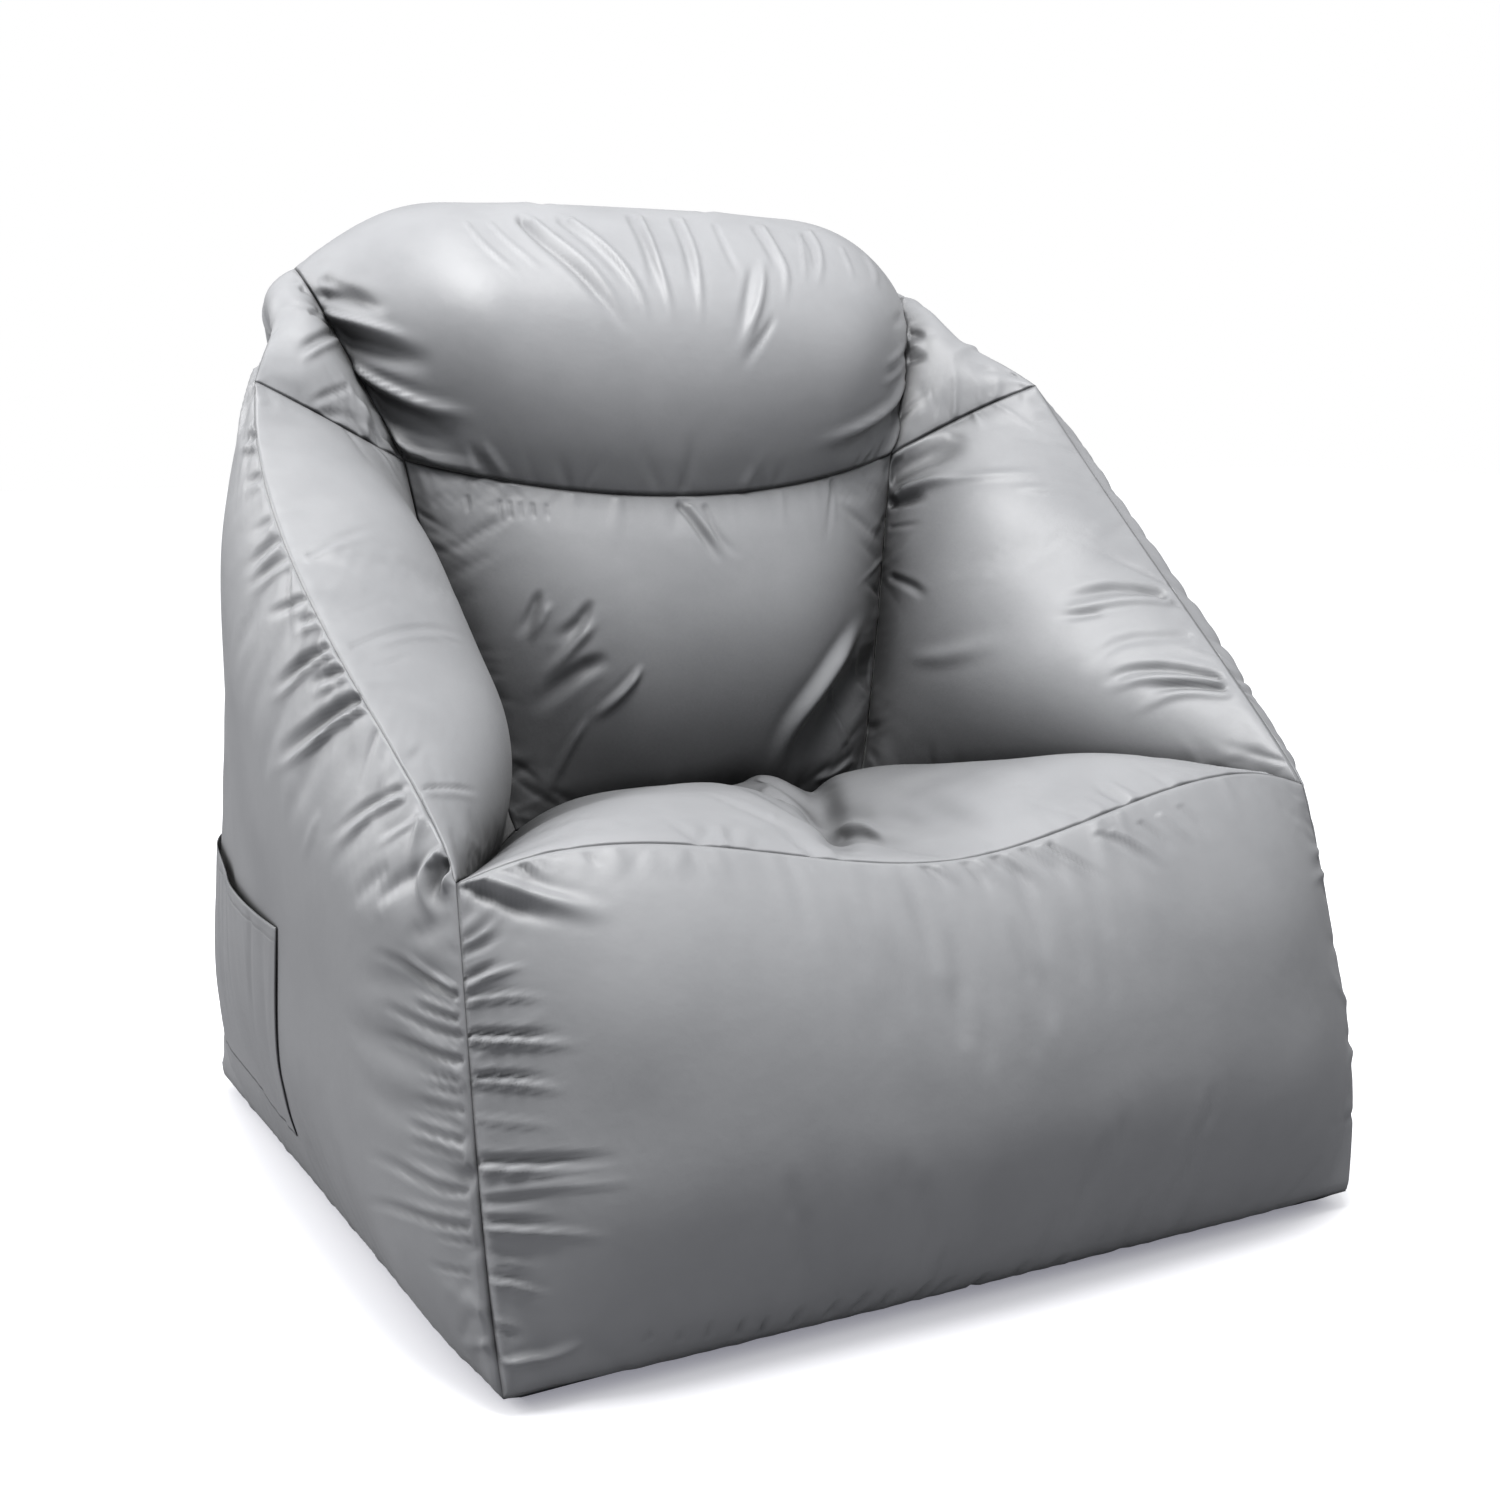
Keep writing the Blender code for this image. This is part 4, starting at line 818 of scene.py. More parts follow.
def cloth_object(name, grid, seams, holes=None):
    """A sheet of cloth as a mesh, with its own length and width as a map and its distance from the seams."""
    rows, columns = grid.shape[:2]
    corners = grid_cells(np.arange(rows * columns).reshape(rows, columns))
    if holes is not None:
        corners = corners[~holes.ravel()[corners].all(axis=1)]
    used, fresh = np.unique(corners, return_inverse=True)
    corners = fresh.reshape(-1, 4)
    mesh = bpy.data.meshes.new(name)
    mesh.from_pydata(grid.reshape(-1, 3)[used].tolist(), [], corners.tolist())
    mesh.polygons.foreach_set("use_smooth", [True] * len(corners))
    across, upward = grid_lengths(grid)
    lengths = np.stack([across.ravel()[used], upward.ravel()[used]], axis=1)
    mesh.uv_layers.new(name="cloth").data.foreach_set("uv", lengths[corners.ravel()].ravel())
    seam = mesh.attributes.new("seam", "FLOAT", "POINT")
    seam.data.foreach_set("value", seams.ravel()[used].astype(np.float32))
    mesh.update()
    sheet = bpy.data.objects.new(name, mesh)
    bpy.context.scene.collection.objects.link(sheet)
    return sheet


def apply_all(piece):
    """Applies a piece's modifiers in their order."""
    bpy.context.view_layer.objects.active = piece
    for modifier in list(piece.modifiers):
        bpy.ops.object.modifier_apply(modifier=modifier.name)


def thickened(sheet, thickness):
    """Gives a sheet its thickness, on its inner side."""
    solid = sheet.modifiers.new("thickness", "SOLIDIFY")
    solid.thickness = thickness
    solid.offset = -1
    apply_all(sheet)


def add_node(material, kind, **values):
    """A node of a material, with its own settings and the values of its sockets."""
    node = material.node_tree.nodes.new(kind)
    for name, value in values.items():
        if hasattr(node, name):
            setattr(node, name, value)
        else:
            node.inputs[name.replace("_", " ")].default_value = value
    return node


def join(material, *pairs):
    """Joins sockets of a material's nodes, each pair from an output to an input."""
    for output, target in pairs:
        material.node_tree.links.new(output, target)


def plain_material(name):
    """A new material, with its shader and the place of each of its points."""
    material = bpy.data.materials.new(name)
    material.use_nodes = True
    return material, material.node_tree.nodes["Principled BSDF"], add_node(material, "ShaderNodeTexCoord")


def tinted(material, shade, colour):
    """A node that mixes a shade and a colour."""
    return add_node(material, "ShaderNodeMix", data_type="RGBA", A=shade, B=colour)


def dulling(material, roughness, smoother, rougher):
    """A node that turns a noise into a roughness a little to each side of the mean one."""
    spread = {"To_Min": roughness - smoother, "To_Max": roughness + rougher}
    return add_node(material, "ShaderNodeMapRange", From_Min=0.3, From_Max=0.7, **spread)


def placed(piece, node, body, slot, material):
    """Puts a piece in its CAD node's place on its body, and says what it is made of."""
    piece.data.materials.append(material)
    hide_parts(node)
    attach(piece, body)


cloth_colour = (0.48, 0.485, 0.50, 1)
cloth_shade = (0.42, 0.425, 0.44, 1)
cloth_roughness = 0.38
cloth_sheen = 0.12
thread_space = 0.0007
seam_line_width = 0.0009
seam_groove_width = 0.0034
# Painted shade in the hollows: how far the ambient occlusion that darkens the cloth's colour looks, how dark
# it gets, and the heights above the floor over which it comes in.
painted_hollow_shade_reach = 0.45
painted_hollow_shade_tone = 0.12
painted_hollow_shade_heights = (0.12, 0.36)
# Painted shade in the folds: how far a shorter ambient occlusion looks, and how dark it makes the cloth's
# colour.
painted_fold_shade_reach = 0.035
painted_fold_shade_tone = 0.55


def woven_material(name, colour, shade, roughness, sheen):
    """Coated woven cloth: two sets of threads and a dark line at each seam, with painted shade darkening its
    colour in hollows and folds.
    """
    material, shader, place = plain_material(name)
    shader.inputs["Roughness"].default_value = roughness
    shader.inputs["Sheen Weight"].default_value = sheen
    shader.inputs["Sheen Roughness"].default_value = 0.4
    threads = 2 * math.pi / (20 * thread_space)
    warp = add_node(material, "ShaderNodeTexWave", bands_direction="X", Scale=threads)
    weft = add_node(material, "ShaderNodeTexWave", bands_direction="Y", Scale=threads)
    weave = add_node(material, "ShaderNodeMath", operation="MAXIMUM")
    clouds = add_node(material, "ShaderNodeTexNoise", Scale=9.0, Detail=4.0, Roughness=0.55)
    tint = tinted(material, shade, colour)
    levels = add_node(material, "ShaderNodeMapRange", From_Min=0.25, From_Max=0.6)
    seam = add_node(material, "ShaderNodeAttribute", attribute_name="seam")
    smooth = {"interpolation_type": "SMOOTHSTEP"}
    line = add_node(material, "ShaderNodeMapRange", From_Max=seam_line_width, To_Min=0.55, **smooth)
    multiply = {"data_type": "RGBA", "blend_type": "MULTIPLY", "Factor": 1}
    sewn = add_node(material, "ShaderNodeMix", **multiply)
    # Painted shade: ambient occlusion darkens the colour in the hollows between the panels. None of it is
    # applied low down by the floor.
    painted_hollow_shade = add_node(material, "ShaderNodeAmbientOcclusion", samples=6, Distance=painted_hollow_shade_reach)
    painted_hollow_shade_levels = add_node(material, "ShaderNodeMapRange", From_Min=0.25, From_Max=0.92, To_Min=painted_hollow_shade_tone)
    height = add_node(material, "ShaderNodeSeparateXYZ")
    low, high = painted_hollow_shade_heights
    above = add_node(material, "ShaderNodeMapRange", From_Min=low, From_Max=high, **smooth)
    painted_hollow_shade_above_floor = add_node(material, "ShaderNodeMix", data_type="FLOAT", A=1)
    # Painted shade in the folds: a short ambient occlusion darkens the colour in the creases of the cloth.
    crease = add_node(material, "ShaderNodeAmbientOcclusion", samples=6, Distance=painted_fold_shade_reach)
    painted_fold_shade_levels = add_node(material, "ShaderNodeMapRange", From_Min=0.4, From_Max=0.97, To_Min=painted_fold_shade_tone)
    painted_shade_total = add_node(material, "ShaderNodeMath", operation="MULTIPLY")
    colour_with_painted_shade = add_node(material, "ShaderNodeMix", **multiply)
    groove = add_node(material, "ShaderNodeMapRange", From_Max=seam_groove_width, **smooth)
    creases = add_node(material, "ShaderNodeTexNoise", Scale=70.0, Detail=3.0, Roughness=0.5)
    fine = add_node(material, "ShaderNodeBump", Strength=0.25, Distance=0.0002)
    soft = add_node(material, "ShaderNodeBump", Strength=0.5, Distance=0.0006)
    sunk = add_node(material, "ShaderNodeBump", Strength=0.6, Distance=0.0014)
    dulled = dulling(material, roughness, 0.05, 0.06)
    join(
        material,
        (place.outputs["UV"], warp.inputs["Vector"]),
        (place.outputs["UV"], weft.inputs["Vector"]),
        (place.outputs["Object"], clouds.inputs["Vector"]),
        (place.outputs["Object"], creases.inputs["Vector"]),
        (warp.outputs["Fac"], weave.inputs[0]),
        (weft.outputs["Fac"], weave.inputs[1]),
        (clouds.outputs["Fac"], levels.inputs["Value"]),
        (levels.outputs["Result"], tint.inputs["Factor"]),
        (seam.outputs["Fac"], line.inputs["Value"]),
        (seam.outputs["Fac"], groove.inputs["Value"]),
        (tint.outputs["Result"], sewn.inputs["A"]),
        (line.outputs["Result"], sewn.inputs["B"]),
        (painted_hollow_shade.outputs["AO"], painted_hollow_shade_levels.inputs["Value"]),
        (crease.outputs["AO"], painted_fold_shade_levels.inputs["Value"]),
        (place.outputs["Object"], height.inputs["Vector"]),
        (height.outputs["Z"], above.inputs["Value"]),
        (above.outputs["Result"], painted_hollow_shade_above_floor.inputs["Factor"]),
        (painted_hollow_shade_levels.outputs["Result"], painted_hollow_shade_above_floor.inputs["B"]),
        (painted_hollow_shade_above_floor.outputs["Result"], painted_shade_total.inputs[0]),
        (painted_fold_shade_levels.outputs["Result"], painted_shade_total.inputs[1]),
        (sewn.outputs["Result"], colour_with_painted_shade.inputs["A"]),
        (painted_shade_total.outputs["Value"], colour_with_painted_shade.inputs["B"]),
        (colour_with_painted_shade.outputs["Result"], shader.inputs["Base Color"]),
        (clouds.outputs["Fac"], dulled.inputs["Value"]),
        (dulled.outputs["Result"], shader.inputs["Roughness"]),
        (groove.outputs["Result"], sunk.inputs["Height"]),
        (creases.outputs["Fac"], soft.inputs["Height"]),
        (sunk.outputs["Normal"], soft.inputs["Normal"]),
        (weave.outputs["Value"], fine.inputs["Height"]),
        (soft.outputs["Normal"], fine.inputs["Normal"]),
        (fine.outputs["Normal"], shader.inputs["Normal"]),
    )
    return material


def dressed(sheet, node, material, slot):
    """Puts a sheet of cloth in its CAD node's place on the chair and says what it is made of."""
    placed(sheet, node, "chair", slot, material)


# The panels swell with the air, broad forms and ripples each up to a limit and less beside the seams.
# Round the valve and along the zip the cloth lies flat up to a distance, and the folds return past it.
cloth_thickness = 0.0008
valve_hole = 0.033
flat_round_valve = 0.045
flat_by_zip = 0.012
folds_return = 0.03
cover_seed = 40
cover_cloth = woven_material("cover cloth", cloth_colour, cloth_shade, cloth_roughness, cloth_sheen)
broad_swell = 0.009
small_swell = 0.012
seam_hold = 0.05
seam_share = 0.35
swell_share = {"seat_panel": 0.45}
ripple_share = {"right_inner_arm_panel": 0.2, "left_inner_arm_panel": 0.4}


def limited(moves, most):
    """The same moves with none longer than the most."""
    size = np.linalg.norm(moves, axis=-1, keepdims=True) + 1e-9
    return moves / size * most * np.tanh(size / most)


calm, rises, folded = {}, {}, {}
for number, node in enumerate(panel_facing):
    chance = np.random.default_rng(cover_seed + number)
    here = vertices[node]
    moves = swelling[here]
    down, over = (spline_weights((side - 1) // cloth_steps, cloth_steps) for side in here.shape)
    broad = np.einsum("ia,jb,abk->ijk", down, over, moves[::cloth_steps, ::cloth_steps])
    apart = smooth_share(seam_distance(cloth_points[here]) / seam_hold)[..., None]
    held = seam_share + (swell_share.get(node, 1) - seam_share) * apart
    ripples = 1 - (1 - ripple_share.get(node, 1)) * apart
    swell = limited(broad, broad_swell) + ripples * limited(moves - broad, small_swell)
    grid = cloth_points[here] + held * swell
    grid = fine_grid(grid, corners, fold_steps[node])
    distance = seam_distance(grid)
    normals = grid_normals(grid)
    towards = np.array(camera_place) - grid
    towards /= np.linalg.norm(towards, axis=-1, keepdims=True)
    open_to_camera = smooth_share((normals * towards).sum(axis=-1) / grazing)
    heights = drawn_heights(in_picture(grid), drawn_folds.get(node, [])) * open_to_camera
    heights += pucker_heights(grid, calm_panels.get(node, 1), foot_calm if node in foot_rolls else 1, chance)
    if node == "seat_panel":
        heights += lobe_heights(grid) * smooth_share(distance / lobe_edge)
    if node in foot_rolls:
        heights += roll_heights(grid[..., 2], foot_rolls[node], foot_roll_reach)
    if node == "right_side_panel":
        raised = smooth_share((grid[..., 2] - rim_roll_floor[0]) / rim_roll_floor[1])
        ahead = smooth_share((rim_roll_back[0] - grid[..., 1]) / rim_roll_back[1])
        heights += raised * ahead * roll_heights(distance, rim_roll, rim_roll_reach)
    heights = np.maximum(heights, 0) + deepest_fold * np.tanh(np.minimum(heights, 0) / deepest_fold)
    heights *= smooth_share(distance / fold_start)
    heights += seam_puff * (1 - np.exp(-distance / seam_puff_reach))
    holes = None
    if node.startswith("rear"):
        from_valve = grid - np.array(valve_centre)
        radius = np.hypot(from_valve[..., 0], from_valve[..., 2])
        heights *= smooth_share((radius - flat_round_valve) / folds_return)
        heights *= smooth_share((abs(grid[..., 2] - zip_height) - flat_by_zip) / folds_return)
        holes = radius < valve_hole
        grid[holes] += from_valve[holes] * (valve_hole / radius[holes] - 1)[:, None] * (1, 0, 1)
    calm[node], rises[node] = grid, heights
    folded[node] = grid + normals * heights[..., None]
    across, upward = grid_lengths(folded[node])
    panel = cloth_object("cover_" + node, folded[node], distance, holes)
    thickened(panel, cloth_thickness)
    dressed(panel, node, cover_cloth, "cover_cloth")

# Base. A heavier dark coated cloth closes the cover underneath, sewn to the foot of every upright panel.
# Its rim curls up from the floor to that seam, and the weight of the chair presses the rest flat.
base_colour = (0.16, 0.165, 0.175, 1)
base_shade = (0.12, 0.125, 0.135, 1)
base_roughness = 0.62
base_columns, base_rows = 160, 140
base_thickness = 0.0010
base_lift = 0.0006
base_calm = 0.15
base_seed = 60


def even_line(line, count):
    """The same line with its points at even steps."""
    lengths = np.concatenate([[0], np.cumsum(np.linalg.norm(np.diff(line, axis=0), axis=1))])
    wanted = np.linspace(0, lengths[-1], count)
    return np.stack([np.interp(wanted, lengths, line[:, k]) for k in range(3)], axis=1)


def node_tree(node):
    """A CAD node's faces, to be met by a line of sight."""
    mesh = bmesh.new()
    mesh.from_mesh(nodes[node].data)
    tree = BVHTree.FromBMesh(mesh)
    mesh.free()
    return tree


front_foot = even_line(folded["front_panel"][0], base_columns + 1)
rear_foot = even_line(folded["rear_lower_panel"][0, ::-1], base_columns + 1)
left_foot = even_line(folded["left_side_panel"][0, ::-1], base_rows + 1)
right_foot = even_line(folded["right_side_panel"][0], base_rows + 1)
u = np.linspace(0, 1, base_columns + 1)[None, :, None]
v = np.linspace(0, 1, base_rows + 1)[:, None, None]
base = (1 - v) * front_foot[None] + v * rear_foot[None]
base = base + (1 - u) * left_foot[:, None] + u * right_foot[:, None]
front_chord = (1 - u) * front_foot[0] + u * front_foot[-1]
rear_chord = (1 - u) * rear_foot[0] + u * rear_foot[-1]
base -= (1 - v) * front_chord + v * rear_chord
base_tree = node_tree("base_panel")
inner_base = base[1:-1, 1:-1].reshape(-1, 3)
for point in inner_base:
    met = base_tree.ray_cast((point[0], point[1], -behind), (0, 0, 1))[0]
    point[2] = base_lift + (met.z if met else point[2])
base[1:-1, 1:-1] = inner_base.reshape(base_rows - 1, base_columns - 1, 3)
base_distance = seam_distance(base)
base_puckers = pucker_heights(base, base_calm, 1, np.random.default_rng(base_seed))
base_puckers *= smooth_share(base_distance / fold_start)
base[..., 2] = np.maximum(base[..., 2] + base_puckers, np.minimum(base[..., 2], base_lift))
base = base[:, ::-1]
base_distance = base_distance[:, ::-1]
base_cloth = woven_material("base cloth", base_colour, base_shade, base_roughness, 0.0)
base_sheet = cloth_object("base_sheet", base, base_distance)
thickened(base_sheet, base_thickness)
dressed(base_sheet, "base_panel", base_cloth, "base_cloth")

# Pocket. A patch of the cover's cloth on its left side, turned under and sewn along its foot and both ends.
# Its mouth has a turned hem, and stands a little off the side so that a hand can get in.
pocket_columns = slice(30, 190)
pocket_ends = (128, 152)
pocket_rows = 60
pocket_foot_height = 0.085
pocket_mouth_height = 0.300
pocket_seam_gap = 0.0016
pocket_mouth_gap = 0.0060
pocket_hem = 0.014
pocket_thickness = 0.0010
pocket_clearance_steps = 3
belly_ends = 0.7
belly_height = 0.8
pocket_seed = 70
pocket_folds = 26
pocket_fold_places = (0.02, 0.98)
pocket_fold_slope = 0.25
pocket_fold_lean = 0.3
pocket_fold_widths = (0.010, 0.022)
pocket_fold_height = 0.0009
pocket_fold_start = 0.02
pocket_fold_rises = (0.8, 2)

side_heights = np.maximum(rises["left_side_panel"], 0)
for _ in range(pocket_clearance_steps):
    for axis in (0, 1):
        beside = np.maximum(np.roll(side_heights, 1, axis), np.roll(side_heights, -1, axis))
        side_heights = np.maximum(side_heights, beside)
side_shape = [calm["left_side_panel"], grid_normals(calm["left_side_panel"]), side_heights[..., None]]
side_shape = np.concatenate(side_shape, axis=-1)[:, pocket_columns]
pocket_levels = np.linspace(pocket_foot_height, pocket_mouth_height, pocket_rows + 1)
pocket_shape = np.zeros((pocket_rows + 1, *side_shape.shape[1:]))
for column, value in np.ndindex(side_shape.shape[1:]):
    side = side_shape[:, column]
    pocket_shape[:, column, value] = np.interp(pocket_levels, side[:, 2], side[:, value])
side_columns = np.arange(pocket_shape.shape[1])
for row, value in np.ndindex(pocket_rows + 1, pocket_shape.shape[2]):
    end = np.interp(row, (0, pocket_rows), pocket_ends)
    places = np.linspace(0, end, len(side_columns))
    pocket_shape[row, :, value] = np.interp(places, side_columns, pocket_shape[row, :, value])
patch, patch_normals, patch_rises = pocket_shape[..., :3], pocket_shape[..., 3:6], pocket_shape[..., 6]
up = np.linspace(0, 1, patch.shape[0])[:, None]
across = np.linspace(0, 1, patch.shape[1])[None, :]
belly = np.sin(math.pi * across) ** belly_ends * smooth_share(up / belly_height)
gap = pocket_seam_gap + patch_rises + pocket_mouth_gap * belly
pocket_distance = seam_distance(patch)
pocket_lengths, pocket_heights = grid_lengths(patch)
chance = np.random.default_rng(pocket_seed)
for _ in range(pocket_folds):
    place = chance.uniform(*pocket_fold_places)
    slope = chance.normal(0, pocket_fold_slope)
    width = chance.uniform(*pocket_fold_widths)
    crease = np.exp(-(((across - place - slope * (up - 0.5) * pocket_fold_lean) / width) ** 2))
    fold = chance.normal(0, pocket_fold_height) * crease * smooth_share(pocket_distance / pocket_fold_start)
    gap += fold * smooth_share(up * chance.uniform(*pocket_fold_rises))
pocket_heights = pocket_heights[-1:] - pocket_heights
pocket_seams = np.minimum(pocket_distance, abs(pocket_heights - pocket_hem))
pocket_seams = np.where(pocket_heights < pocket_hem, abs(pocket_heights - pocket_hem), pocket_seams)
pocket = patch + patch_normals * gap[..., None]
pocket_sheet = cloth_object("pocket_sheet", pocket, pocket_seams)
thickened(pocket_sheet, pocket_thickness)
dressed(pocket_sheet, "side_pocket", cover_cloth, "cover_cloth")

# Bladder. A welded bag of clear grey film holds the air inside the cover, with welded bands of the same
# film across it that keep the seat, arms and head cushion from blowing up round.
film_colour = (0.70, 0.72, 0.74, 1)
film_roughness = 0.3
web_ripple = 0.0008
web_waves = Vector((46, 61, 83))
web_edge = 0.02
web_cuts = 3
webs = ("right_arm_web", "left_arm_web", "seat_rear_web", "seat_centre_web", "head_tie_web")

film, film_shader, film_place = plain_material("bladder film")
film_shader.inputs["Base Color"].default_value = film_colour
film_shader.inputs["Roughness"].default_value = film_roughness
film_shader.inputs["Coat Weight"].default_value = 0.3
film_creases = add_node(film, "ShaderNodeTexNoise", Scale=26.0, Detail=5.0, Roughness=0.6)
film_bump = add_node(film, "ShaderNodeBump", Strength=0.6, Distance=0.002)
film_cloud = dulling(film, film_roughness, 0.08, 0.1)
join(
    film,
    (film_place.outputs["Object"], film_creases.inputs["Vector"]),
    (film_creases.outputs["Fac"], film_bump.inputs["Height"]),
    (film_bump.outputs["Normal"], film_shader.inputs["Normal"]),
    (film_creases.outputs["Fac"], film_cloud.inputs["Value"]),
    (film_cloud.outputs["Result"], film_shader.inputs["Roughness"]),
)


def merged_copy(name, node):
    """A new object with a CAD node's shape, its loose faces joined."""
    mesh = node_mesh(node)
    data = bpy.data.meshes.new(name)
    mesh.to_mesh(data)
    mesh.free()
    copy = bpy.data.objects.new(name, data)
    bpy.context.scene.collection.objects.link(copy)
    return copy


bladder = merged_copy("bladder", "air_bladder")
rounding = bladder.modifiers.new("rounding", "SUBSURF")
rounding.levels = rounding.render_levels = 2
apply_all(bladder)
bladder.data.polygons.foreach_set("use_smooth", [True] * len(bladder.data.polygons))
placed(bladder, "air_bladder", "chair", "bladder_film", film)

for node in webs:
    web = merged_copy(node.replace("_web", "_band"), node)
    shape = bmesh.new()
    shape.from_mesh(web.data)
    for _ in range(web_cuts):
        long_edges = [e for e in shape.edges if e.calc_length() > web_edge]
        bmesh.ops.subdivide_edges(shape, edges=long_edges, cuts=1, use_grid_fill=True)
    bmesh.ops.triangulate(shape, faces=[f for f in shape.faces if len(f.verts) > 4])
    shape.normal_update()
    broad = max(shape.faces, key=lambda f: f.calc_area()).normal.copy()
    low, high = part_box(node)
    for vertex in shape.verts:
        shares = [(vertex.co[k] - low[k]) / max(high[k] - low[k], 1e-6) for k in range(3)]
        ends = [min(s, 1 - s) for k, s in enumerate(shares) if high[k] - low[k] > web_edge]
        wave = math.sin(web_waves.dot(vertex.co))
        vertex.co += broad * web_ripple * wave * min(1, 4 * min(ends))
    web_area = sum(f.calc_area() for f in shape.faces) / 2
    shape.to_mesh(web.data)
    shape.free()
    dressed(web, node, film, "bladder_film")

# Zip. Two woven tapes are sewn behind the slit across the lower back, each with a row of moulded teeth.
# A stop clamps the chain at each end, and a cast slider with its own pull runs between them.
tape_colour = (0.10, 0.105, 0.115, 1)
tape_shade = (0.07, 0.075, 0.085, 1)
teeth_colour = (0.15, 0.155, 0.165, 1)
metal_colour = (0.55, 0.56, 0.58, 1)
metal_shade = (0.46, 0.47, 0.49, 1)
metal_roughness = 0.3
tooth_pitch = 0.0029
tooth_length = 0.0017
tooth_height = 0.0024
tooth_depth = 0.0024
tooth_bevel = 0.0004
tooth_gap = 0.0005
tooth_hold = 0.4
tape_thickness = 0.0007
tape_rows, tape_columns = 8, 190
tape_wave = 0.00012
tape_waves = 95
tape_stitch_inset = 0.008

tape_low, tape_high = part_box("zip_tape_upper")
chain_middle = (tape_low.y + tape_high.y) / 2
tape_cloth = woven_material("zip tape", tape_colour, tape_shade, 0.75, 0.1)
teeth_plastic, teeth_shader, teeth_place = plain_material("zip teeth")
teeth_shader.inputs["Roughness"].default_value = 0.4
teeth_noise = add_node(teeth_plastic, "ShaderNodeTexNoise", Scale=900.0, Detail=2.0)
teeth_tint = tinted(teeth_plastic, tape_shade, teeth_colour)
join(
    teeth_plastic,
    (teeth_place.outputs["Object"], teeth_noise.inputs["Vector"]),
    (teeth_noise.outputs["Fac"], teeth_tint.inputs["Factor"]),
    (teeth_tint.outputs["Result"], teeth_shader.inputs["Base Color"]),
)
for name, side in (("upper", 1), ("lower", -1)):
    node = "zip_tape_" + name
    low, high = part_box(node)
    from_chain = min(abs(low.z - zip_height), abs(high.z - zip_height))
    inner_edge = zip_height + side * (from_chain + tooth_height * tooth_hold)
    outer_edge = high.z if side > 0 else low.z
    x = np.linspace(high.x, low.x, tape_columns + 1)[None, :]
    z = np.linspace(min(inner_edge, outer_edge), max(inner_edge, outer_edge), tape_rows + 1)[:, None]
    wave = tape_wave * np.sin(x * tape_waves) * abs(z - inner_edge) / abs(outer_edge - inner_edge)
    tape = np.stack([x + 0 * z, chain_middle + tape_thickness / 2 + wave, z + 0 * x], axis=-1)
    tape_seams = abs(abs(z - outer_edge) - tape_stitch_inset) + 0 * x
    tape_sheet = cloth_object("zip_cloth_" + name, tape, tape_seams)
    thickened(tape_sheet, tape_thickness)
    bpy.ops.object.select_all(action="DESELECT")
    bpy.ops.mesh.primitive_cube_add(size=1, location=(low.x + tooth_length, chain_middle, zip_height))
    teeth = bpy.context.object
    teeth.name = "zip_teeth_" + name
    teeth.scale = (tooth_length, tooth_depth, tooth_height)
    bpy.ops.object.transform_apply(location=False, rotation=False, scale=True)
    bpy.ops.object.mode_set(mode="EDIT")
    bpy.ops.transform.translate(value=(0, 0, side * (tooth_height / 2 + tooth_gap)))
    bpy.ops.mesh.bevel(offset=tooth_bevel, segments=1, affect="EDGES")
    bpy.ops.object.mode_set(mode="OBJECT")
    row = teeth.modifiers.new("row", "ARRAY")
    row.use_relative_offset = False
    row.use_constant_offset = True
    row.constant_offset_displace = (tooth_pitch, 0, 0)
    row.count = int((high.x - low.x - 2 * tooth_length) / tooth_pitch) + 1
    apply_all(teeth)
    bpy.ops.object.transform_apply(location=True, rotation=False, scale=False)
    placed(teeth, node, "chair", "zip_tape", teeth_plastic)
    placed(tape_sheet, node, "chair", "zip_tape", tape_cloth)

zinc, zinc_shader, zinc_place = plain_material("zip zinc")
zinc_shader.inputs["Metallic"].default_value = 0.85
zinc_grain = add_node(zinc, "ShaderNodeTexNoise", Scale=1400.0, Detail=3.0)
zinc_tint = tinted(zinc, metal_shade, metal_colour)
zinc_dull = dulling(zinc, metal_roughness, 0.06, 0.1)
zinc_bump = add_node(zinc, "ShaderNodeBump", Strength=0.2, Distance=0.0001)
join(
    zinc,
    (zinc_place.outputs["Object"], zinc_grain.inputs["Vector"]),
    (zinc_grain.outputs["Fac"], zinc_tint.inputs["Factor"]),
    (zinc_tint.outputs["Result"], zinc_shader.inputs["Base Color"]),
    (zinc_grain.outputs["Fac"], zinc_dull.inputs["Value"]),
    (zinc_dull.outputs["Result"], zinc_shader.inputs["Roughness"]),
    (zinc_grain.outputs["Fac"], zinc_bump.inputs["Height"]),
    (zinc_bump.outputs["Normal"], zinc_shader.inputs["Normal"]),
)


flat_angle = math.radians(1)
sharp_angle = math.radians(40)
smooth_angle = math.radians(35)


def rounded_piece(name, node, body, slot, material, bevel):
    """A moulded or cast piece with a CAD node's shape, its sharp edges rounded off."""
    piece = merged_copy(name, node)
    flatten = piece.modifiers.new("flat faces", "DECIMATE")
    flatten.decimate_type = "DISSOLVE"
    flatten.angle_limit = flat_angle
    edge = piece.modifiers.new("rounded edges", "BEVEL")
    edge.width = bevel
    edge.segments = 2
    edge.limit_method = "ANGLE"
    edge.angle_limit = sharp_angle
    apply_all(piece)
    bpy.ops.object.select_all(action="DESELECT")
    piece.select_set(True)
    bpy.ops.object.shade_smooth_by_angle(angle=smooth_angle)
    placed(piece, node, body, slot, material)


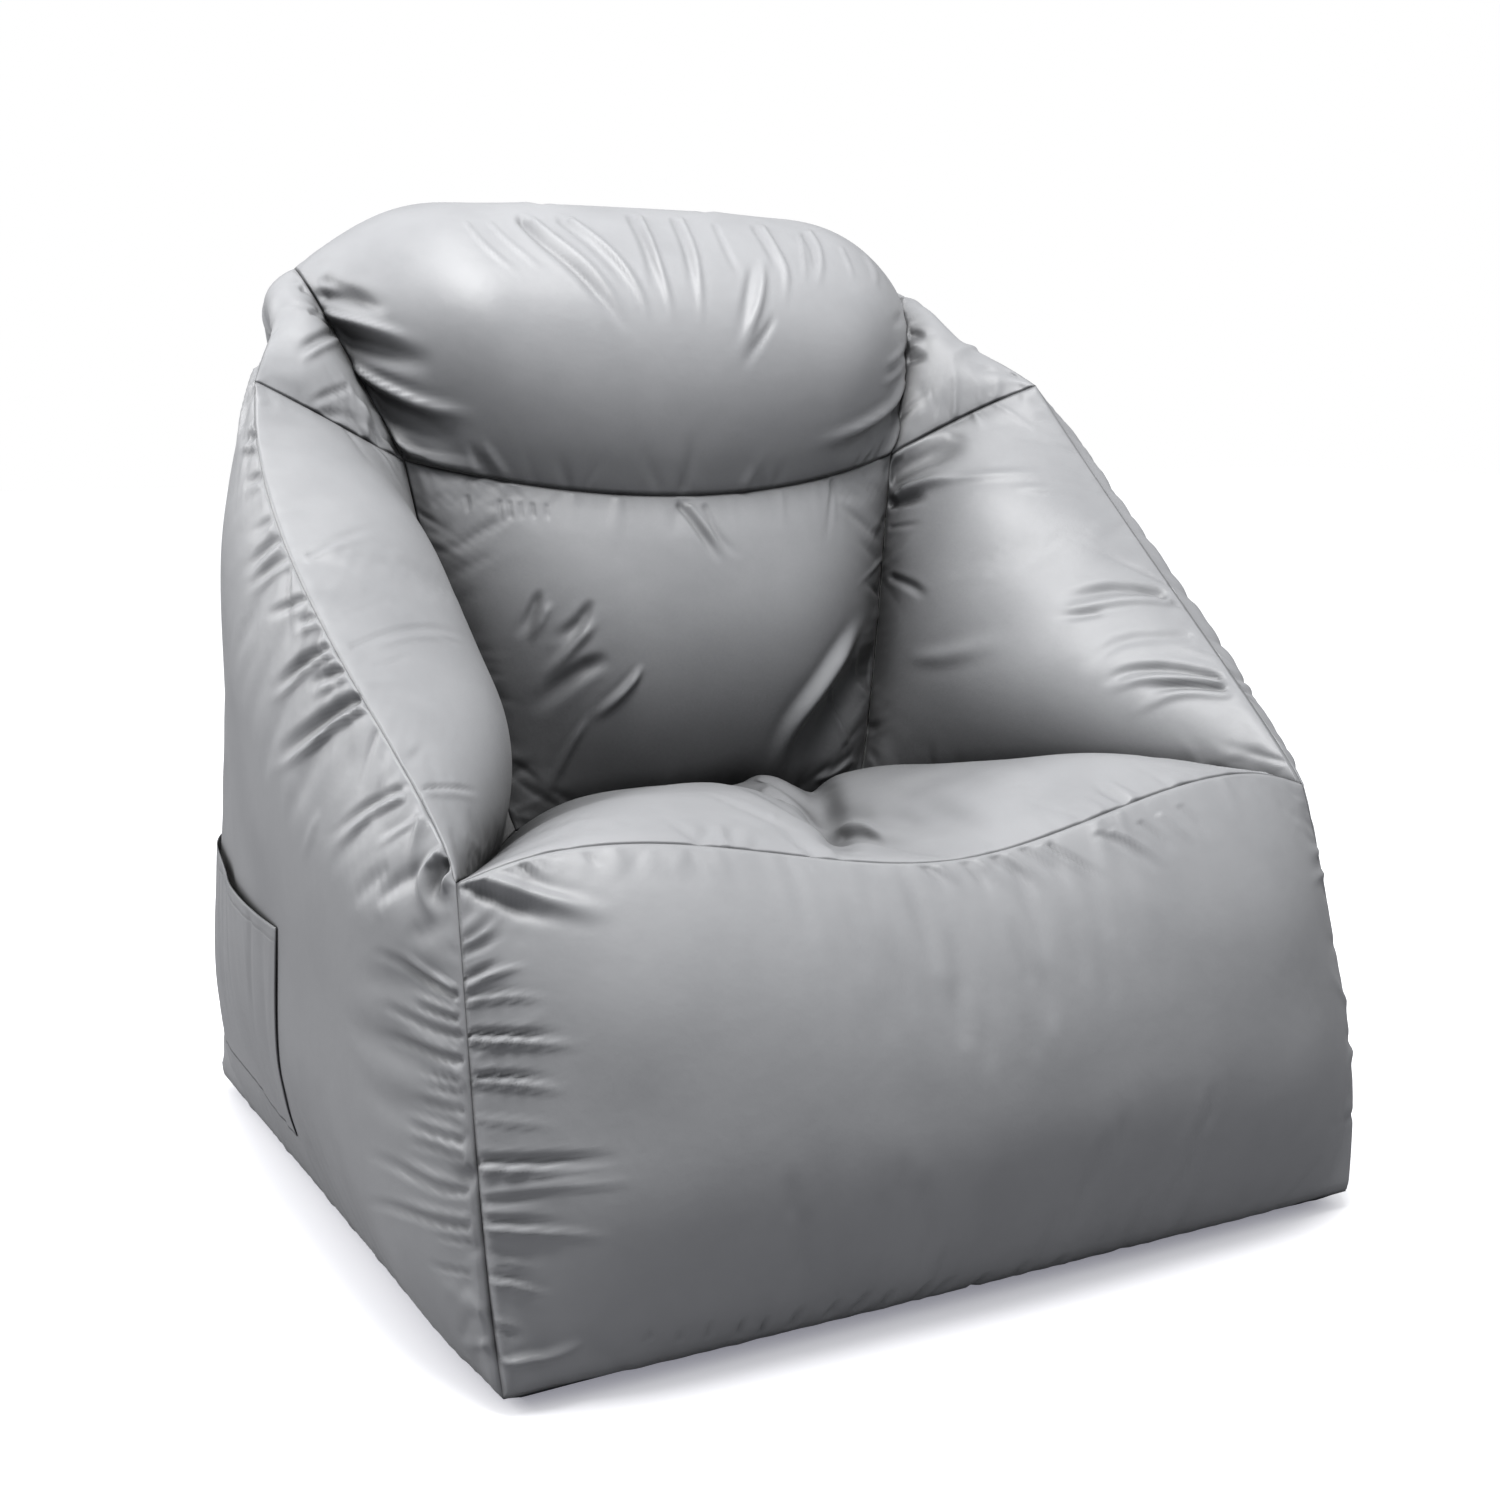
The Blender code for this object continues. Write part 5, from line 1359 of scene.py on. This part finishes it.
rounded_piece("zip_slider_body", "zip_slider", "slider", "zip_metal", zinc, 0.00025)
rounded_piece("zip_pull_tab", "zip_pull", "pull", "zip_metal", zinc, 0.0002)
rounded_piece("zip_end_left", "zip_stop_left", "chair", "zip_metal", zinc, 0.0004)
rounded_piece("zip_end_right", "zip_stop_right", "chair", "zip_metal", zinc, 0.0004)

# Valve. A moulded base is welded into the bladder and comes out through a ring sewn to the cover.
# A screw-in insert with a rubber flap lets air in, and a cap on a strap closes it.
plastic_colour = (0.10, 0.105, 0.115, 1)
plastic_shade = (0.075, 0.08, 0.09, 1)
valve_colour = (0.75, 0.76, 0.78, 1)
valve_shade = (0.68, 0.69, 0.71, 1)
rubber_colour = (0.70, 0.72, 0.74, 1)
rubber_shade = (0.62, 0.64, 0.66, 1)


def moulded_material(name, colour, shade, roughness, grain):
    """Moulded plastic, rubber or thread with a fine grain in its surface."""
    material, shader, place = plain_material(name)
    noise = add_node(material, "ShaderNodeTexNoise", Scale=grain, Detail=3.0)
    cloud = add_node(material, "ShaderNodeTexNoise", Scale=60.0, Detail=2.0)
    tint = tinted(material, shade, colour)
    dull = dulling(material, roughness, 0.05, 0.08)
    bump = add_node(material, "ShaderNodeBump", Strength=0.25, Distance=0.0001)
    join(
        material,
        (place.outputs["Object"], noise.inputs["Vector"]),
        (place.outputs["Object"], cloud.inputs["Vector"]),
        (cloud.outputs["Fac"], tint.inputs["Factor"]),
        (tint.outputs["Result"], shader.inputs["Base Color"]),
        (cloud.outputs["Fac"], dull.inputs["Value"]),
        (dull.outputs["Result"], shader.inputs["Roughness"]),
        (noise.outputs["Fac"], bump.inputs["Height"]),
        (bump.outputs["Normal"], shader.inputs["Normal"]),
    )
    return material


dark_plastic = moulded_material("dark plastic", plastic_colour, plastic_shade, 0.45, 900.0)
pale_plastic = moulded_material("pale plastic", valve_colour, valve_shade, 0.3, 500.0)
flap_rubber = moulded_material("flap rubber", rubber_colour, rubber_shade, 0.5, 700.0)
rounded_piece("cover_ring", "port_ring", "chair", "dark_plastic", dark_plastic, 0.0003)
rounded_piece("valve_collar", "valve_base", "chair", "valve_plastic", pale_plastic, 0.0003)
rounded_piece("valve_screw_insert", "valve_insert", "insert", "valve_plastic", pale_plastic, 0.0003)
rounded_piece("valve_flap", "valve_membrane", "insert", "membrane_rubber", flap_rubber, 0.0002)
rounded_piece("valve_strap_ring", "valve_strap", "chair", "dark_plastic", dark_plastic, 0.0003)
rounded_piece("valve_cap_lid", "valve_cap", "cap", "dark_plastic", dark_plastic, 0.0003)

# The ring is sewn to the cover with a circle of stitches just inside its rim.
stitch_count = 56
stitch_circle = 0.0376
stitch_length = 0.0030
stitch_radius = 0.00035
stitch_round = 0.6
stitch_rise = 0.3
thread_colour = (0.30, 0.31, 0.33, 1)
thread_shade = (0.22, 0.23, 0.25, 1)

thread = moulded_material("sewing thread", thread_colour, thread_shade, 0.6, 1200.0)
ring_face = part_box("port_ring")[1].y
bpy.ops.object.select_all(action="DESELECT")
bpy.ops.mesh.primitive_cylinder_add(
    vertices=8, radius=stitch_radius, depth=stitch_length, location=(0, 0, 0), rotation=(0, math.pi / 2, 0)
)
stitch = bpy.context.object
stitch.name = "ring_stitches"
bpy.ops.object.transform_apply(location=False, rotation=True, scale=False)
bpy.ops.object.mode_set(mode="EDIT")
bpy.ops.mesh.bevel(offset=stitch_radius * stitch_round, segments=1, affect="EDGES")
bpy.ops.object.mode_set(mode="OBJECT")
one_stitch = bmesh.new()
one_stitch.from_mesh(stitch.data)
whole_circle = bmesh.new()
for number in range(stitch_count):
    turn = 2 * math.pi * number / stitch_count
    placed = one_stitch.copy()
    placed.transform(
        Matrix.Translation((valve_centre.x, ring_face + stitch_radius * stitch_rise, valve_centre.z))
        @ Matrix.Rotation(turn, 4, "Y")
        @ Matrix.Translation((0, 0, stitch_circle))
    )
    single = bpy.data.meshes.new("stitch")
    placed.to_mesh(single)
    whole_circle.from_mesh(single)
    bpy.data.meshes.remove(single)
    placed.free()
whole_circle.to_mesh(stitch.data)
whole_circle.free()
one_stitch.free()
stitch.data.materials.append(thread)
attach(stitch, "chair")

# Floor and light. A plain white studio floor carries the chair, with a broad lamp overhead and another
# behind its left side. Floor and room are white to the eye but send little light back into the folds.
floor_side = 30
floor_glow = 0.94
floor_white = (0.85, 0.85, 0.87, 1)
floor_bounce = (0.22, 0.22, 0.23, 1)
# Painted shadow on the floor: how far the ambient occlusion that darkens its glow near the chair looks, and
# the colour that the glow darkens to.
painted_shadow_reach = 0.16
painted_shadow_colour = (0.20, 0.20, 0.24, 1)
room_light = (0.95, 0.97, 1.0, 1)
room_strength = 0.27
white = (1, 1, 1, 1)
lamp_side = 1.2
lamp_target = (0.0, 0.0, 0.45)

bpy.ops.object.select_all(action="DESELECT")
bpy.ops.mesh.primitive_plane_add(size=floor_side)
floor = bpy.context.object
floor.name = "floor"
floor_paint = bpy.data.materials.new("floor")
floor_paint.use_nodes = True
floor_paint.node_tree.nodes.remove(floor_paint.node_tree.nodes["Principled BSDF"])
floor_paint_out = floor_paint.node_tree.nodes["Material Output"]
seen_floor = add_node(floor_paint, "ShaderNodeBsdfDiffuse", Color=floor_white)
lit_floor = add_node(floor_paint, "ShaderNodeBsdfDiffuse", Color=floor_bounce)
glow = add_node(floor_paint, "ShaderNodeEmission", Strength=floor_glow)
# Painted shadow: ambient occlusion darkens the floor's glow near the chair, beside the real shadow of the
# lamps that its white diffuse part takes.
shade = add_node(floor_paint, "ShaderNodeAmbientOcclusion", samples=16, Distance=painted_shadow_reach)
painted_shadow_levels = tinted(floor_paint, painted_shadow_colour, white)
glowing = add_node(floor_paint, "ShaderNodeAddShader")
floor_rays = add_node(floor_paint, "ShaderNodeLightPath")
floor_seen = add_node(floor_paint, "ShaderNodeMath", operation="MAXIMUM")
floor_mix = add_node(floor_paint, "ShaderNodeMixShader")
join(
    floor_paint,
    (shade.outputs["AO"], painted_shadow_levels.inputs["Factor"]),
    (painted_shadow_levels.outputs["Result"], glow.inputs["Color"]),
    (glow.outputs["Emission"], glowing.inputs[0]),
    (seen_floor.outputs["BSDF"], glowing.inputs[1]),
    (floor_rays.outputs["Is Camera Ray"], floor_seen.inputs[0]),
    (floor_rays.outputs["Is Transmission Ray"], floor_seen.inputs[1]),
    (floor_seen.outputs["Value"], floor_mix.inputs[0]),
    (lit_floor.outputs["BSDF"], floor_mix.inputs[1]),
    (glowing.outputs["Shader"], floor_mix.inputs[2]),
    (floor_mix.outputs["Shader"], floor_paint_out.inputs["Surface"]),
)
floor.data.materials.append(floor_paint)

room = bpy.data.worlds.new("room")
room.use_nodes = True
bpy.context.scene.world = room
dim_room = room.node_tree.nodes["Background"]
dim_room.inputs["Color"].default_value = room_light
dim_room.inputs["Strength"].default_value = room_strength
white_room = add_node(room, "ShaderNodeBackground", Color=white, Strength=1.0)
room_rays = add_node(room, "ShaderNodeLightPath")
room_mix = add_node(room, "ShaderNodeMixShader")
join(
    room,
    (room_rays.outputs["Is Camera Ray"], room_mix.inputs[0]),
    (dim_room.outputs["Background"], room_mix.inputs[1]),
    (white_room.outputs["Background"], room_mix.inputs[2]),
    (room_mix.outputs["Shader"], room.node_tree.nodes["World Output"].inputs["Surface"]),
)


def add_lamp(name, place, power):
    """A square lamp aimed at the middle of the chair."""
    data = bpy.data.lights.new(name, "AREA")
    data.shape = "RECTANGLE"
    data.size, data.size_y = lamp_side, lamp_side
    data.energy = power
    lamp = bpy.data.objects.new(name, data)
    bpy.context.scene.collection.objects.link(lamp)
    aim = (Vector(lamp_target) - Vector(place)).to_track_quat("-Z", "Y")
    lamp.matrix_world = Matrix.Translation(place) @ aim.to_matrix().to_4x4()


add_lamp("overhead lamp", place=(-0.25, -0.60, 2.90), power=68)
add_lamp("back left lamp", place=(-2.40, 1.40, 1.70), power=44)

bpy.context.scene.view_settings.view_transform = "Standard"
